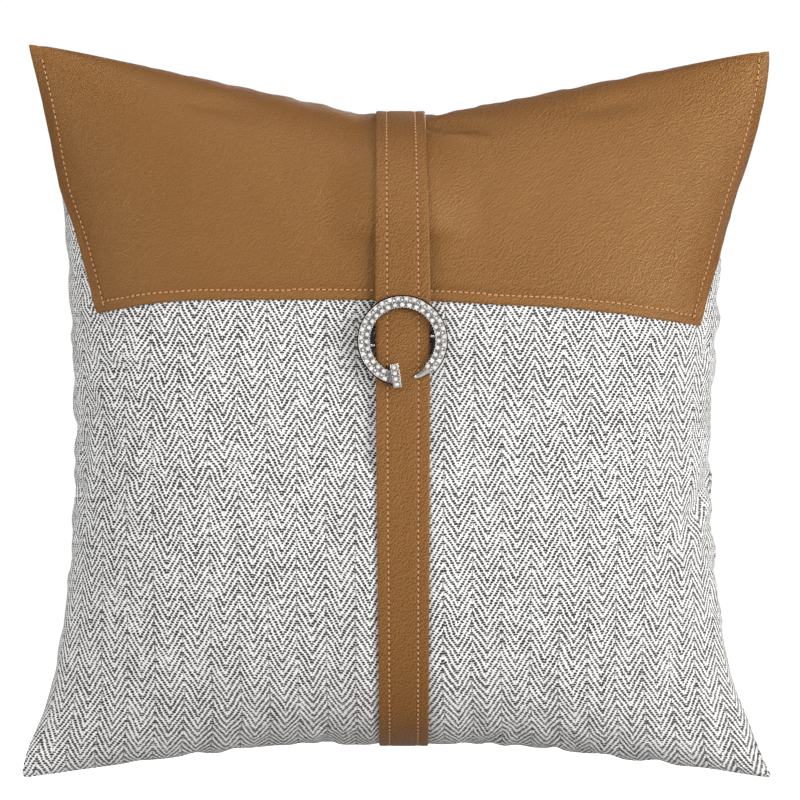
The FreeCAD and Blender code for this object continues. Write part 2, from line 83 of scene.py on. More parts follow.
def apply_modifier(o, kind, **values):
    """Adds a modifier and applies it."""
    choose(o)
    modifier = o.modifiers.new(kind, kind)
    for key, value in values.items():
        setattr(modifier, key, value)
    bpy.ops.object.modifier_apply(modifier=modifier.name)


def smooth(o, degrees=None):
    """Shades a piece smooth, all over or below an angle."""
    choose(o)
    if degrees is None:
        bpy.ops.object.shade_smooth()
    else:
        bpy.ops.object.shade_smooth_by_angle(angle=math.radians(degrees))


def finish_piece(o, body, slot, paint, *nodes):
    """Puts a finished piece on its body, with its finish and the CAD nodes that it stands for."""
    choose(o)
    bpy.ops.object.transform_apply(location=True, rotation=True, scale=True)
    o.data.materials.clear()
    o.data.materials.append(paint)
    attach(o, body)
    if nodes:
        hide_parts(*nodes)
    return o


def edit_faces(o, test):
    """Opens a piece in edit mode with only the faces that pass a test selected."""
    choose(o)
    bpy.ops.object.mode_set(mode="EDIT")
    bpy.ops.mesh.select_mode(type="FACE")
    bpy.ops.mesh.select_all(action="DESELECT")
    bpy.ops.object.mode_set(mode="OBJECT")
    for polygon in o.data.polygons:
        polygon.select = bool(test(polygon))
    bpy.ops.object.mode_set(mode="EDIT")


def close_up(o, gap):
    """Merges the doubled points of a piece and turns its faces outwards."""
    edit_faces(o, lambda polygon: True)
    bpy.ops.mesh.remove_doubles(threshold=gap)
    bpy.ops.mesh.normals_make_consistent(inside=False)
    bpy.ops.object.mode_set(mode="OBJECT")


def link_new(name, data):
    """A new object in the scene."""
    o = bpy.data.objects.new(name, data)
    bpy.context.scene.collection.objects.link(o)
    return o


def net_faces(corners):
    """The faces between the numbered points of a net."""
    faces = [corners[:-1, :-1], corners[1:, :-1], corners[1:, 1:], corners[:-1, 1:]]
    return np.stack(faces, axis=-1).reshape(-1, 4)


def net_object(name, points, across, along):
    """A sheet mesh over rows and columns of points, with its flat cloth coordinates as its UV map."""
    columns, rows = points.shape[:2]
    faces = net_faces(np.arange(columns * rows).reshape(columns, rows))
    mesh = bpy.data.meshes.new(name)
    mesh.from_pydata(points.reshape(-1, 3).tolist(), [], faces.tolist())
    flat = np.stack([across.ravel(), along.ravel()], axis=-1)
    layer = mesh.uv_layers.new(name="Cloth")
    layer.data.foreach_set("uv", flat[faces.ravel()].astype(np.float32).ravel())
    return link_new(name, mesh)


def join(name, parts):
    """One object out of many copies."""
    deselect()
    for o in parts:
        o.select_set(True)
    bpy.context.view_layer.objects.active = parts[0]
    bpy.ops.object.join()
    parts[0].name = name
    return parts[0]


def copy_at(model, place):
    """A copy with its own mesh, put at a place."""
    o = link_new(model.name, model.data.copy())
    o.data.transform(place)
    return o


def remove(o):
    bpy.data.objects.remove(o, do_unlink=True)


def ease(value, start, end):
    """0 before start, 1 after end, smooth between them."""
    t = np.clip((value - start) / (end - start), 0, 1)
    return t * t * (3 - 2 * t)


def distances(points):
    """How far along a line each of its points lies."""
    return np.concatenate([[0], np.cumsum(np.linalg.norm(np.diff(points, axis=0), axis=1))])


def resample(line, gone, wanted):
    """The places at the wanted distances along a line."""
    return np.stack([np.interp(wanted, gone, line[:, k]) for k in range(line.shape[1])], axis=-1)


def unit(vectors):
    """The vectors at a length of one."""
    return vectors / np.maximum(np.linalg.norm(vectors, axis=-1, keepdims=True), 1e-12)


# ---- the stuffed shape ----


def swelling(v, middle, width, height):
    """A soft swelling of a side, round one place along it."""
    return height * np.exp(-(((v - middle) / width) ** 2))


def stuffed(u, v, crown):
    """Points of a stuffed panel, u across and v up it from -1 to 1."""
    left, right = 0.1925 + 0.0290 * abs(v) ** 2.3, 0.187 + 0.036 * abs(v) ** 2.3
    right = right + 0.038 * v**3 * (1 - v * v)
    left = left + swelling(v, -0.94, 0.11, 0.0055) + swelling(v, 0.25, 0.25, 0.0022)
    right = right + swelling(v, -0.86, 0.14, 0.0060) + swelling(v, -0.60, 0.15, 0.0024)
    right = right + swelling(v, 0.20, 0.18, 0.0030) - swelling(v, 0.52, 0.13, 0.0024)
    held = np.maximum(abs(u) - 0.09, 0) / 0.91
    rise = np.where(u < 0, 0.0415 * held**0.97, 0.0375 * held**1.06)
    low = 0.0225 * (1 - u * u) * (1 - 0.35 * u * u)
    x = u * (left + (right - left) * (1 + u) / 2)
    z = low * (1 - v) / 2 + (0.396 + 0.003 * held + rise) * (1 + v) / 2
    puff = np.sqrt(np.maximum(0, (1 - u**4) * (1 - v**4))) * (1 - 0.72 * u * u * v * v)
    return np.stack([x, SEAM + crown * puff, z], axis=-1)


def walk(line, shape):
    """Slides the points of one thread along a panel until they are evenly spaced."""
    gone = distances(shape(line[:, 0], line[:, 1]))
    return resample(line, gone, np.linspace(0, gone[-1], len(line)))


def panel_net(crown):
    """A panel's net, whose threads cross it evenly both ways as woven cloth does."""
    steps = np.sin(np.linspace(-1, 1, NET) * math.pi / 2)
    grid = np.stack(np.meshgrid(steps, steps, indexing="ij"), axis=-1)

    def shape(u, v):
        return stuffed(u, v, crown)

    for _ in range(10):
        for k in range(NET):
            grid[:, k] = walk(grid[:, k], shape)
        for k in range(NET):
            grid[k] = walk(grid[k], shape)
    return shape(grid[..., 0], grid[..., 1])


def relax(net, share):
    """Moves each point a share of the way to the middle of its neighbours; the rim stays a rim."""
    middle = net.copy()
    middle[1:-1, 1:-1] = (
        net[:-2, 1:-1] + net[2:, 1:-1] + net[1:-1, :-2] + net[1:-1, 2:]
    ) / 4
    for rim in (0, -1):
        middle[1:-1, rim] = (net[:-2, rim] + net[2:, rim]) / 2
        middle[rim, 1:-1] = (net[rim, :-2] + net[rim, 2:]) / 2
    return net + share * (middle - net)


def without_folds(net, passes=70):
    """The net with its small folds smoothed out and its large shape kept."""
    for _ in range(passes):
        net = relax(relax(net, 0.5), -0.53)
    return net


def inflate():
    """Blows up two flat panels sewn round their rim and gives the folds on each of them."""
    steps = np.linspace(-HALF, HALF, NET)
    x, z = np.meshgrid(steps, steps, indexing="ij")
    swell = 0.006 * (1 - (x / HALF) ** 2) * (1 - (z / HALF) ** 2)
    front = np.stack([x, -swell, z], axis=-1)
    back = np.stack([x, swell, z], axis=-1)
    rim = np.ones((NET, NET), bool)
    rim[1:-1, 1:-1] = False
    number = np.arange(NET * NET).reshape(NET, NET)
    other = number.copy()
    other[~rim] = NET * NET + np.arange((~rim).sum())
    faces = []
    for grid, turn in ((number, 1), (other, -1)):
        faces += net_faces(grid)[:, ::turn].tolist()
    points = np.concatenate([front.reshape(-1, 3), back[~rim]])
    mesh = bpy.data.meshes.new("blank")
    mesh.from_pydata(points.tolist(), [], faces)
    blank = link_new("blank", mesh)
    cloth = blank.modifiers.new("Cloth", "CLOTH")
    for key, value in dict(
        quality=6,
        mass=0.15,
        tension_stiffness=30,
        compression_stiffness=30,
        shear_stiffness=12,
        bending_stiffness=0.05,
        use_pressure=True,
        uniform_pressure_force=9,
    ).items():
        setattr(cloth.settings, key, value)
    cloth.settings.effector_weights.gravity = 0
    cloth.point_cache.frame_end = 40
    for step in range(1, 31):
        bpy.context.scene.frame_set(step)
    choose(blank)
    bpy.ops.object.modifier_apply(modifier="Cloth")
    bpy.context.scene.frame_set(1)
    found = np.array([v.co for v in blank.data.vertices])
    remove(blank)
    return [found[grid] - without_folds(found[grid]) for grid in (number, other)]


def spread_normals(net):
    """The net's own normals, pointing out of the front (towards -Y) for a front net."""
    return unit(np.cross(np.gradient(net, axis=0), np.gradient(net, axis=1)))


def fold_gain(net):
    """The folds lie deepest at the bottom, where the stuffing has settled."""
    return np.interp(net[..., 2], (0.0, 0.12, 0.30, 0.44), (0.85, 0.75, 0.6, 0.25))[..., None]


def crease(net, normal, x, z, angle, length, width, depth):
    """Presses a soft crease into a net."""
    a = math.radians(angle)
    dx, dz = net[..., 0] - x, net[..., 2] - z
    along = dx * math.cos(a) + dz * math.sin(a)
    aside = dz * math.cos(a) - dx * math.sin(a)
    amount = depth * np.exp(-((along / length) ** 2) - (aside / width) ** 2)
    return net - normal * amount[..., None]


# ---- places on a net ----


def weights(t):
    """The shares of four neighbouring points in a smooth curve through them."""
    first = ((-t + 2) * t - 1) * t / 2
    second = ((3 * t - 5) * t * t + 2) / 2
    third = ((-3 * t + 4) * t + 1) * t / 2
    return np.stack([first, second, third, (t - 1) * t * t / 2], axis=-1)


def on_net(net, s, t):
    """Points of a net at flat cloth coordinates s and t."""
    s, t = np.broadcast_arrays(s, t)
    a = np.clip((s + HALF) / CLOTH, 0, 1) * (NET - 1)
    b = np.clip((t + HALF) / CLOTH, 0, 1) * (NET - 1)
    i = np.minimum(a.astype(int), NET - 2)
    j = np.minimum(b.astype(int), NET - 2)
    wa, wb = weights(a - i), weights(b - j)
    padded = np.pad(net, ((1, 1), (1, 1), (0, 0)), mode="reflect", reflect_type="odd")
    total = 0
    for p in range(4):
        for q in range(4):
            total = total + (wa[..., p] * wb[..., q])[..., None] * padded[i + p, j + q]
    return total


def slopes_on(net, s, t, step):
    """How a net's points move with each of its flat cloth coordinates."""
    by_s = on_net(net, s + step, t) - on_net(net, s - step, t)
    by_t = on_net(net, s, t + step) - on_net(net, s, t - step)
    return by_s / (2 * step), by_t / (2 * step)


def normals_on(net, s, t):
    """The outward directions of a net at flat cloth coordinates s and t."""
    return unit(np.cross(*slopes_on(net, s, t, 0.0015)))


def find_on(net, x, z):
    """The flat cloth coordinates of the place that is seen at x and z from the front."""
    apart = (net[..., 0] - x) ** 2 + (net[..., 2] - z) ** 2
    nearest = np.unravel_index(apart.argmin(), apart.shape)
    s, t = (np.array([k]) * CLOTH / (NET - 1) - HALF for k in nearest)
    limit = HALF - 0.001
    for _ in range(12):
        here = on_net(net, s, t)[0]
        by_s, by_t = (slope[0] for slope in slopes_on(net, s, t, 1e-4))
        slope = np.array([[by_s[0], by_t[0]], [by_s[2], by_t[2]]])
        ds, dt = np.linalg.solve(slope, [x - here[0], z - here[2]])
        s = np.clip(s + np.clip(ds, -0.01, 0.01), -limit, limit)
        t = np.clip(t + np.clip(dt, -0.01, 0.01), -limit, limit)
    return float(s[0]), float(t[0])


# ---- strap line ----


def bezier(points, count):
    t = np.linspace(0, 1, count)[:, None]
    a, b, c, d = (np.array(p) for p in points)
    return a * (1 - t) ** 3 + 3 * b * t * (1 - t) ** 2 + 3 * c * t * t * (1 - t) + d * t**3


def strap_line():
    """The strap's inner side in y and z, from the top seam over the front to the bottom seam."""
    flat = SEAM + FRONT_CROWN - STRAP_STAND
    over = bezier(((SEAM, 0.3978), (SEAM - 0.030, 0.3978), (flat, 0.368), (flat, 0.327)), 60)
    under = bezier(((flat, 0.180), (flat, 0.0556), (SEAM - 0.040, 0.0216), (SEAM, 0.0216)), 90)
    line = np.concatenate([over, under])
    gone = distances(line)
    even = np.linspace(0, gone[-1], 301)
    line = resample(line, gone, even)
    along = unit(np.gradient(line, axis=0))
    out = np.stack([along[:, 1], -along[:, 0]], axis=-1)
    return line, out, even


def meet_strap(net, flap_low):
    """Lets the stuffing fill the room behind the strap, clear of the ring's bar."""
    line, out, _ = strap_line()
    aside = abs(net[..., 0] - STRAP_X)
    near = 1 - ease(aside, 0.0150, 0.0480)
    swell_beside = ease(aside, 0.0140, 0.0185) * (1 - ease(aside, 0.022, 0.046))
    result = net.copy()
    for i, j in np.argwhere(near > 0):
        y, z = net[i, j, 1:]
        k = ((line - (y, z)) ** 2).sum(1).argmin()
        room = -float(np.dot((y, z) - line[k], out[k]))
        ring = float(ease(z, 0.180, 0.193) * (1 - ease(z, 0.318, 0.331)))
        clear = 0.0003 + (0.0017 if z > flap_low - 0.006 else 0) + 0.0028 * ring
        push = max(0.0, room - clear) * near[i, j]
        if flap_low > 0:
            push += 0.0020 * float(swell_beside[i, j]) * (1 - ring)
        result[i, j, 1:] += out[k] * push
    return result


# ---- node groups ----


class Nodes:
    """Short calls for wiring a node tree."""

    def __init__(self, tree):
        self.tree = tree

    def add(self, kind, **values):
        node = self.tree.nodes.new(kind)
        for key, value in values.items():
            setattr(node, key, value)
        return node

    def link(self, source, socket):
        if isinstance(source, (int, float, tuple, list)):
            socket.default_value = source
        else:
            self.tree.links.new(source, socket)

    def fill(self, node, *sources):
        """Feeds a node's first sockets, leaving those given as None."""
        for source, socket in zip(sources, node.inputs):
            if source is not None:
                self.link(source, socket)
        return node.outputs

    def math(self, operation, a, b=None, c=None):
        return self.fill(self.add("ShaderNodeMath", operation=operation), a, b, c)[0]

    def about(self, value, amount, base=0.0):
        """A value's distance from a half, times an amount, on top of a base."""
        return self.math("MULTIPLY_ADD", self.math("SUBTRACT", value, 0.5), amount, base)

    def axes(self, vector):
        return self.fill(self.add("ShaderNodeSeparateXYZ"), vector)

    def span(self, value, low, high, to_low=0.0, to_high=1.0, kind="SMOOTHSTEP"):
        node = self.add("ShaderNodeMapRange", interpolation_type=kind)
        return self.fill(node, value, low, high, to_low, to_high)[0]

    def mix(self, share, a, b):
        node = self.add("ShaderNodeMix", data_type="RGBA")
        self.link(share, node.inputs[0])
        self.link(a, node.inputs[6])
        self.link(b, node.inputs[7])
        return node.outputs[2]

    def noise(self, vector, scale, detail=2.0, rough=0.5, output=0):
        node = self.add("ShaderNodeTexNoise")
        for label, value in zip(("Vector", "Scale", "Detail", "Roughness"), (vector, scale, detail, rough)):
            self.link(value, node.inputs[label])
        return node.outputs[output]

    def mapping(self, vector, scale=(1, 1, 1), turn=0.0):
        node = self.add("ShaderNodeMapping")
        node.inputs["Scale"].default_value = scale
        node.inputs["Rotation"].default_value = (0, 0, turn)
        return self.fill(node, vector)[0]


def new_group(name, inputs, outputs):
    """A shader node group with named inputs and outputs."""
    tree = bpy.data.node_groups.new(name, "ShaderNodeTree")
    for label, kind, value in inputs:
        socket = tree.interface.new_socket(label, in_out="INPUT", socket_type=kind)
        if value is not None:
            socket.default_value = value
    for label, kind in outputs:
        tree.interface.new_socket(label, in_out="OUTPUT", socket_type=kind)
    n = Nodes(tree)
    return n, n.add("NodeGroupInput").outputs, n.add("NodeGroupOutput").inputs


FLOAT = "NodeSocketFloat"
VECTOR = "NodeSocketVector"


def weave_group():
    """Herringbone: white floats with slanting rows of dark picks that turn back at each stripe."""
    n, given, out = new_group(
        "Herringbone weave",
        (
            ("Cloth", VECTOR, None),
            ("Stripe", FLOAT, 0.0088),
            ("End", FLOAT, 0.00082),
            ("Pick", FLOAT, 0.0014),
        ),
        (("Dark", FLOAT), ("Height", FLOAT), ("Slub", FLOAT)),
    )
    cloth = given["Cloth"]
    sway = n.about(n.noise(cloth, 60.0, 3.0), 0.0026)
    jump = n.about(n.noise(n.mapping(cloth, (0.4, 1.0, 1.0)), 420.0), 0.0011)
    patch = n.noise(n.mapping(cloth, (1.0, 0.3, 1.0)), 110.0, 3.0, 0.6)
    flat = n.axes(cloth)
    x = n.math("ADD", flat[0], n.math("ADD", sway, jump))
    y = n.math("ADD", flat[1], n.math("SUBTRACT", sway, jump))
    folded = n.math("PINGPONG", n.math("DIVIDE", x, given["Stripe"]), 1.0)
    ends = n.math("DIVIDE", n.math("MULTIPLY", folded, given["Stripe"]), given["End"])
    picks = n.math("DIVIDE", y, given["Pick"])
    pick = n.math("FLOOR", picks)
    # a dark pick shows once in four ends, one end further along at each pick
    loose = n.noise(n.mapping(cloth, (0.5, 1.4, 1.0)), 700.0, 1.0)
    ends = n.about(loose, 1.8, ends)
    shifted = n.math("ADD", n.math("SUBTRACT", pick, ends), 4000.5)
    turn = n.math("FRACT", n.math("DIVIDE", shifted, 4.0))
    fx = n.math("MULTIPLY", n.math("ABSOLUTE", n.math("SUBTRACT", turn, 0.5)), 4.0)
    fy = n.math("ABSOLUTE", n.math("SUBTRACT", n.math("FRACT", picks), 0.5))
    four_ends = n.math("MULTIPLY", given["End"], 4.0)
    place = n.fill(n.add("ShaderNodeCombineXYZ"), n.math("FLOOR", n.math("DIVIDE", x, four_ends)), pick)
    own = n.fill(n.add("ShaderNodeTexWhiteNoise", noise_dimensions="2D"), place[0])[0]
    wide = n.math("POWER", n.math("DIVIDE", fx, 0.98), 2.0)
    tall = n.math("POWER", n.math("DIVIDE", fy, 0.36), 2.0)
    slub = n.noise(n.mapping(cloth, (1.0, 0.5, 1.0)), 800.0, 2.0, 0.6)
    limit = n.about(patch, 1.4, n.about(own, 0.9, n.about(slub, 2.7, 1.55)))
    spot = n.span(n.math("SUBTRACT", limit, n.math("ADD", wide, tall)), -0.18, 0.18)
    # thin shade between white picks, and more dark yarn where the rows turn back
    between = n.span(fy, 0.34, 0.5, 0.0, 0.30)
    valley = n.span(folded, 0.90, 1.0)
    broken = n.math("MULTIPLY", valley, n.span(slub, 0.35, 0.6, 0.0, 0.7))
    dark = n.math("MAXIMUM", n.math("MAXIMUM", spot, broken), between)
    n.link(dark, out["Dark"])
    n.link(n.math("SUBTRACT", n.math("MULTIPLY_ADD", slub, 0.3, 0.8), dark), out["Height"])
    n.link(slub, out["Slub"])
    return n.tree


def grain_group():
    """Leather grain: fine pebbles with longer slanting creases, and the creases' painted light and shade.
    """
    n, given, out = new_group(
        "Leather grain",
        (("Cloth", VECTOR, None), ("Pebble", FLOAT, 1100.0)),
        (("Height", FLOAT), ("Crease shade", FLOAT), ("Mottle", FLOAT)),
    )
    cloth = given["Cloth"]
    turned = n.mapping(cloth, turn=math.radians(-52))
    shift = n.add("ShaderNodeVectorMath", operation="SCALE")
    n.link(n.noise(turned, 300.0, output=1), shift.inputs[0])
    shift.inputs["Scale"].default_value = 0.0008
    bent = n.fill(n.add("ShaderNodeVectorMath", operation="ADD"), turned, shift.outputs[0])
    long_way = n.mapping(bent[0], (0.62, 1.0, 1.0))
    cells = n.add("ShaderNodeTexVoronoi", feature="DISTANCE_TO_EDGE")
    n.link(long_way, cells.inputs["Vector"])
    n.link(given["Pebble"], cells.inputs["Scale"])
    pebble = n.span(cells.outputs[0], 0.0, 0.30)
    # painted light and shade, as if lit from one side: each fold's height less the height just beside it
    beside = n.fill(n.add("ShaderNodeVectorMath", operation="ADD"), long_way, (0.00006, 0.00034, 0))
    slope = n.math("SUBTRACT", n.noise(long_way, 1250.0, 1.0), n.noise(beside[0], 1250.0, 1.0))
    fold = n.span(slope, -0.11, 0.11, kind="LINEAR")
    fine = n.noise(cloth, 1800.0)
    height = n.math("ADD", n.math("MULTIPLY", pebble, 0.45), n.math("MULTIPLY", fold, 0.75))
    height = n.math("ADD", height, n.math("MULTIPLY", fine, 0.25))
    n.link(height, out["Height"])
    n.link(fold, out["Crease shade"])
    n.link(n.noise(cloth, 38.0, 4.0, 0.6), out["Mottle"])
    return n.tree


def twist_group():
    """Twisted thread: slanting plies along the row."""
    n, given, out = new_group(
        "Thread twist",
        (("Place", VECTOR, None), ("Ply", FLOAT, 0.0007)),
        (("Height", FLOAT), ("Fuzz", FLOAT)),
    )
    x, y, z = n.axes(given["Place"])
    total = n.math("ADD", n.math("ADD", x, z), y)
    turn = n.math("SINE", n.math("MULTIPLY", n.math("DIVIDE", total, given["Ply"]), 2 * math.pi))
    n.link(turn, out["Height"])
    n.link(n.noise(given["Place"], 2500.0, 2.0), out["Fuzz"])
    return n.tree


def wear_group():
    """Cast metal: faint scratches and cloudy tarnish."""
    n, given, out = new_group(
        "Metal wear",
        (("Place", VECTOR, None), ("Cloud", FLOAT, 180.0)),
        (("Scratch", FLOAT), ("Tarnish", FLOAT)),
    )
    thin = n.mapping(given["Place"], (1.0, 1.0, 0.12), 0.5)
    n.link(n.noise(thin, 2600.0, 3.0, 0.7), out["Scratch"])
    n.link(n.noise(given["Place"], given["Cloud"]), out["Tarnish"])
    return n.tree


WEAVE = weave_group()
GRAIN = grain_group()
TWIST = twist_group()
WEAR = wear_group()


# ---- materials ----


def linear(red, green, blue):
    """A colour from its 0 to 255 values."""
    values = [c / 255 for c in (red, green, blue)]
    return tuple(v / 12.92 if v < 0.04045 else ((v + 0.055) / 1.055) ** 2.4 for v in values) + (1,)


def new_material(name, **values):
    """A material with its Principled shader, its wiring helper and its coordinates."""
    material = bpy.data.materials.new(name)
    material.use_nodes = True
    tree = material.node_tree
    shader = tree.nodes["Principled BSDF"]
    for key, value in values.items():
        shader.inputs[key.replace("_", " ")].default_value = value
    n = Nodes(tree)
    return material, n, shader, n.add("ShaderNodeTexCoord")


def use(n, group, **values):
    """Places a shared group in a material."""
    node = n.add("ShaderNodeGroup", node_tree=group)
    for key, value in values.items():
        n.link(value, node.inputs[key])
    return node.outputs


def add_bump(n, shader, height, distance, strength=1.0):
    bump = n.add("ShaderNodeBump")
    bump.inputs["Strength"].default_value = strength
    bump.inputs["Distance"].default_value = distance
    n.link(height, bump.inputs["Height"])
    n.link(bump.outputs[0], shader.inputs["Normal"])


def herringbone():
    material, n, shader, place = new_material(
        "Herringbone cloth", Roughness=0.9, Sheen_Weight=0.12, Sheen_Roughness=0.6
    )
    weave = use(n, WEAVE, Cloth=place.outputs["UV"])
    tone = n.noise(place.outputs["UV"], 25.0, 3.0)
    white = n.mix(tone, linear(248, 247, 246), linear(238, 236, 234))
    yarn = n.mix(weave["Slub"], linear(12, 10, 9), linear(70, 63, 58))
    n.link(n.mix(weave["Dark"], white, yarn), shader.inputs["Base Color"])
    add_bump(n, shader, weave["Height"], 0.00035, 0.7)
    return material


def leather():
    material, n, shader, place = new_material("Tan leather", Specular_IOR_Level=0.95)
    shader.inputs["Specular Tint"].default_value = (1.0, 0.78, 0.46, 1)
    grain = use(n, GRAIN, Cloth=place.outputs["UV"])
    # painted light and shade of the creases, stronger towards the right of the flap, where the light rakes
    # across it
    depth = n.span(n.axes(place.outputs["UV"])[0], 0.08, 0.34, 0.35, 1.0)
    shade = n.about(grain["Crease shade"], depth, 0.5)
    # the dark and the tan tones are the shaded and the lit tones of one leather, each varied a little by
    # the mottle
    low = n.mix(grain["Mottle"], linear(64, 32, 4), linear(70, 37, 6))
    high = n.mix(grain["Mottle"], linear(148, 91, 28), linear(154, 97, 32))
    n.link(n.mix(shade, low, high), shader.inputs["Base Color"])
    n.link(n.span(grain["Crease shade"], 0.0, 1.0, 0.50, 0.40, "LINEAR"), shader.inputs["Roughness"])
    add_bump(n, shader, grain["Height"], 0.0002)
    return material


def thread(name, colour):
    material, n, shader, place = new_material(name, Roughness=0.6, Sheen_Weight=0.2)
    twist = use(n, TWIST, Place=place.outputs["Object"])
    dull = tuple(0.72 * c for c in colour[:3]) + (1,)
    n.link(n.mix(twist["Fuzz"], dull, colour), shader.inputs["Base Color"])
    add_bump(n, shader, twist["Height"], 0.00008)
    return material


def metal(name, dark, bright, rough, front=None):
    """Worn metal. Where front tones are given, only the front face takes them and the other faces keep the
    dark tones as painted shade.
    """
    material, n, shader, place = new_material(name, Metallic=1.0)
    wear = use(n, WEAR, Place=place.outputs["Object"])
    paint = n.mix(wear["Tarnish"], linear(*dark), linear(*bright))
    if front:
        # painted shade: the sides and the outline step stay dark, and only the front face gets the bright
        # tones
        facing = n.span(n.axes(place.outputs["Object"])[1], -0.0750, -0.0748, 1.0, 0.0)
        paint = n.mix(facing, paint, n.mix(wear["Tarnish"], linear(*front[0]), linear(*front[1])))
    n.link(paint, shader.inputs["Base Color"])
    n.link(n.span(wear["Scratch"], 0.3, 0.7, *rough, "LINEAR"), shader.inputs["Roughness"])
    add_bump(n, shader, wear["Scratch"], 0.00002, 0.5)
    return material


def stone():
    material, n, shader, place = new_material(
        "Clear stone", Metallic=0.35, Coat_Weight=1.0, Coat_Roughness=0.02
    )
    glint = n.noise(place.outputs["Object"], 900.0, 1.0)
    # painted shade: facets tilted away from the view are mixed towards grey
    tilt = n.add("ShaderNodeLayerWeight")
    side = n.span(tilt.outputs["Facing"], 0.03, 0.30)
    table = n.mix(glint, linear(244, 245, 248), linear(255, 255, 255))
    n.link(n.mix(side, table, linear(220, 218, 215)), shader.inputs["Base Color"])
    n.link(n.span(glint, 0.3, 0.7, 0.04, 0.16, "LINEAR"), shader.inputs["Roughness"])
    return material


def plain_cloth(name, low, high, scale):
    """Plain woven or felted cloth for the parts inside and the zip's tapes."""
    material, n, shader, place = new_material(name, Roughness=0.85, Sheen_Weight=0.1)
    x, _, z = n.axes(place.outputs["Object"])
    turn = 2 * math.pi * scale
    across = n.math("SINE", n.math("MULTIPLY", x, turn))
    along = n.math("SINE", n.math("MULTIPLY", z, turn))
    over = n.math("MULTIPLY", across, along)
    tone = n.noise(place.outputs["Object"], 300.0, 3.0)
    n.link(n.mix(tone, low, high), shader.inputs["Base Color"])
    add_bump(n, shader, over, 0.0001, 0.6)
    return material


HERRINGBONE = herringbone()
LEATHER = leather()
THREAD = thread("Tan thread", linear(236, 166, 108))
# painted shade: the needle holes' dark colour stands in for the shade inside them
NEEDLE_HOLE_SHADE = thread("Needle hole shade", linear(44, 26, 14))
# the dark tones are painted shade on the ring's sides, its outline step and the stop bar's sides; the front
# tones are its bright plating
PLATED_WITH_SHADE = metal(
    "Plated ring with painted shade", (30, 27, 26), (54, 50, 48), (0.16, 0.34), ((164, 159, 154), (216, 211, 206))
)
GUNMETAL = metal("Gunmetal", (52, 50, 50), (84, 82, 82), (0.16, 0.34))
BRIGHT_METAL = metal("Bright metal", (206, 202, 198), (238, 236, 233), (0.12, 0.26))
ZIP_METAL = metal("Zip metal", (120, 116, 110), (150, 146, 140), (0.22, 0.4))
STONE = stone()
INSERT_CLOTH = plain_cloth("Insert cloth", linear(226, 224, 218), linear(242, 240, 236), 900)
FIBRE = plain_cloth("Fibre fill", linear(236, 236, 234), linear(250, 250, 250), 300)
TAPE = plain_cloth("Zip tape", linear(196, 190, 182), linear(212, 206, 198), 1400)
COIL = thread("Zip coil", linear(206, 200, 192))


# ---- cushion ----

ZIP_TURN = math.radians(-90 - 48)
ZIP = Matrix.Translation((0, SEAM + 0.0296, 0.033)) @ Matrix.Rotation(ZIP_TURN, 4, "X")


def zip_places(net):
    """A net's points in the zip's own frame: X along it, Y across it and Z out of the cover."""
    flat = np.array(ZIP.inverted())
    return net @ flat[:3, :3].T + flat[:3, 3]


def lay_zip_rows(net):
    """Brings two threads of the back net onto the lips of the zip opening."""
    local = zip_places(net)
    middle = np.abs(local[NET // 2, : NET // 2, 1]).argmin()
    upper, lower = middle + 1, middle - 1
    lips = {upper: -0.0046, lower: 0.0046, middle: 0.0}
    turn = np.array(ZIP)[:3, :3]
    for i in range(NET):
        reach = 1 - ease(abs(local[i, middle, 0]), 0.136, 0.180)
        if reach <= 0:
            continue
        for j in range(2, 34):
            edge = min(max(j, lower), upper)
            run = 9.0 if j > upper else float(lower)
            share = 1 - ease(float(abs(j - edge)), 0.0, run)
            wanted = np.array([local[i, edge, 0], lips[edge], 0.0022])
            net[i, j] += turn @ (wanted - local[i, edge]) * share * reach
    return net, (lower, upper)


def panel_piece(name, net, facing=1):
    """A panel's net as a mesh, with its flat coordinates counted from one corner of the cloth."""
    steps = np.linspace(0, CLOTH, len(net))
    across, along = np.meshgrid(steps, steps, indexing="ij")
    return net_object(name, net[::facing], across, along)


def flap_edge(x):
    """The height of the flap's lower edge at x."""
    return np.interp(x, [p[0] for p in FLAP_EDGE], [p[1] for p in FLAP_EDGE])


def press(net, creases):
    """Presses a list of creases into a net."""
    for one in creases:
        net = crease(net, front_out, *one)
    return net


# x, z, angle, length, width and depth of each crease
CREASES = (
    (-0.184, 0.220, 35, 0.022, 0.0045, 0.0026),
    (-0.176, 0.205, 20, 0.020, 0.006, 0.0016),
    (0.184, 0.173, 68, 0.024, 0.0050, 0.0030),
    (0.176, 0.160, 55, 0.016, 0.005, 0.0016),
    (0.184, 0.254, 50, 0.010, 0.0030, 0.0026),
    (-0.120, 0.060, 80, 0.030, 0.010, 0.0016),
    (0.135, 0.070, 100, 0.030, 0.010, 0.0016),
)
LEATHER_DENTS = (
    (-0.112, 0.402, -8, 0.024, 0.006, 0.0024),
    (0.128, 0.402, 10, 0.024, 0.006, 0.0024),
    (-0.060, 0.380, 70, 0.022, 0.010, 0.0012),
    (0.085, 0.352, 60, 0.030, 0.012, 0.0012),
    (-0.150, 0.340, 60, 0.030, 0.012, 0.0010),
    (0.165, 0.330, 70, 0.030, 0.008, 0.0014),
)
FLAP_EDGE = (
    (-0.1785, 0.2784),
    (-0.1485, 0.2838),
    (-0.1185, 0.2862),
    (-0.013, 0.2862),
    (0.0195, 0.2856),
    (0.0615, 0.2832),
    (0.0975, 0.2815),
    (0.1335, 0.2778),
    (0.1797, 0.2710),
)

front_smooth, back_smooth = panel_net(FRONT_CROWN), panel_net(BACK_CROWN)
FOLDS = inflate()
front_out = spread_normals(front_smooth)
front_folded = press(front_smooth + FOLDS[0] * fold_gain(front_smooth), CREASES)
back_net = back_smooth + FOLDS[1] * fold_gain(back_smooth)

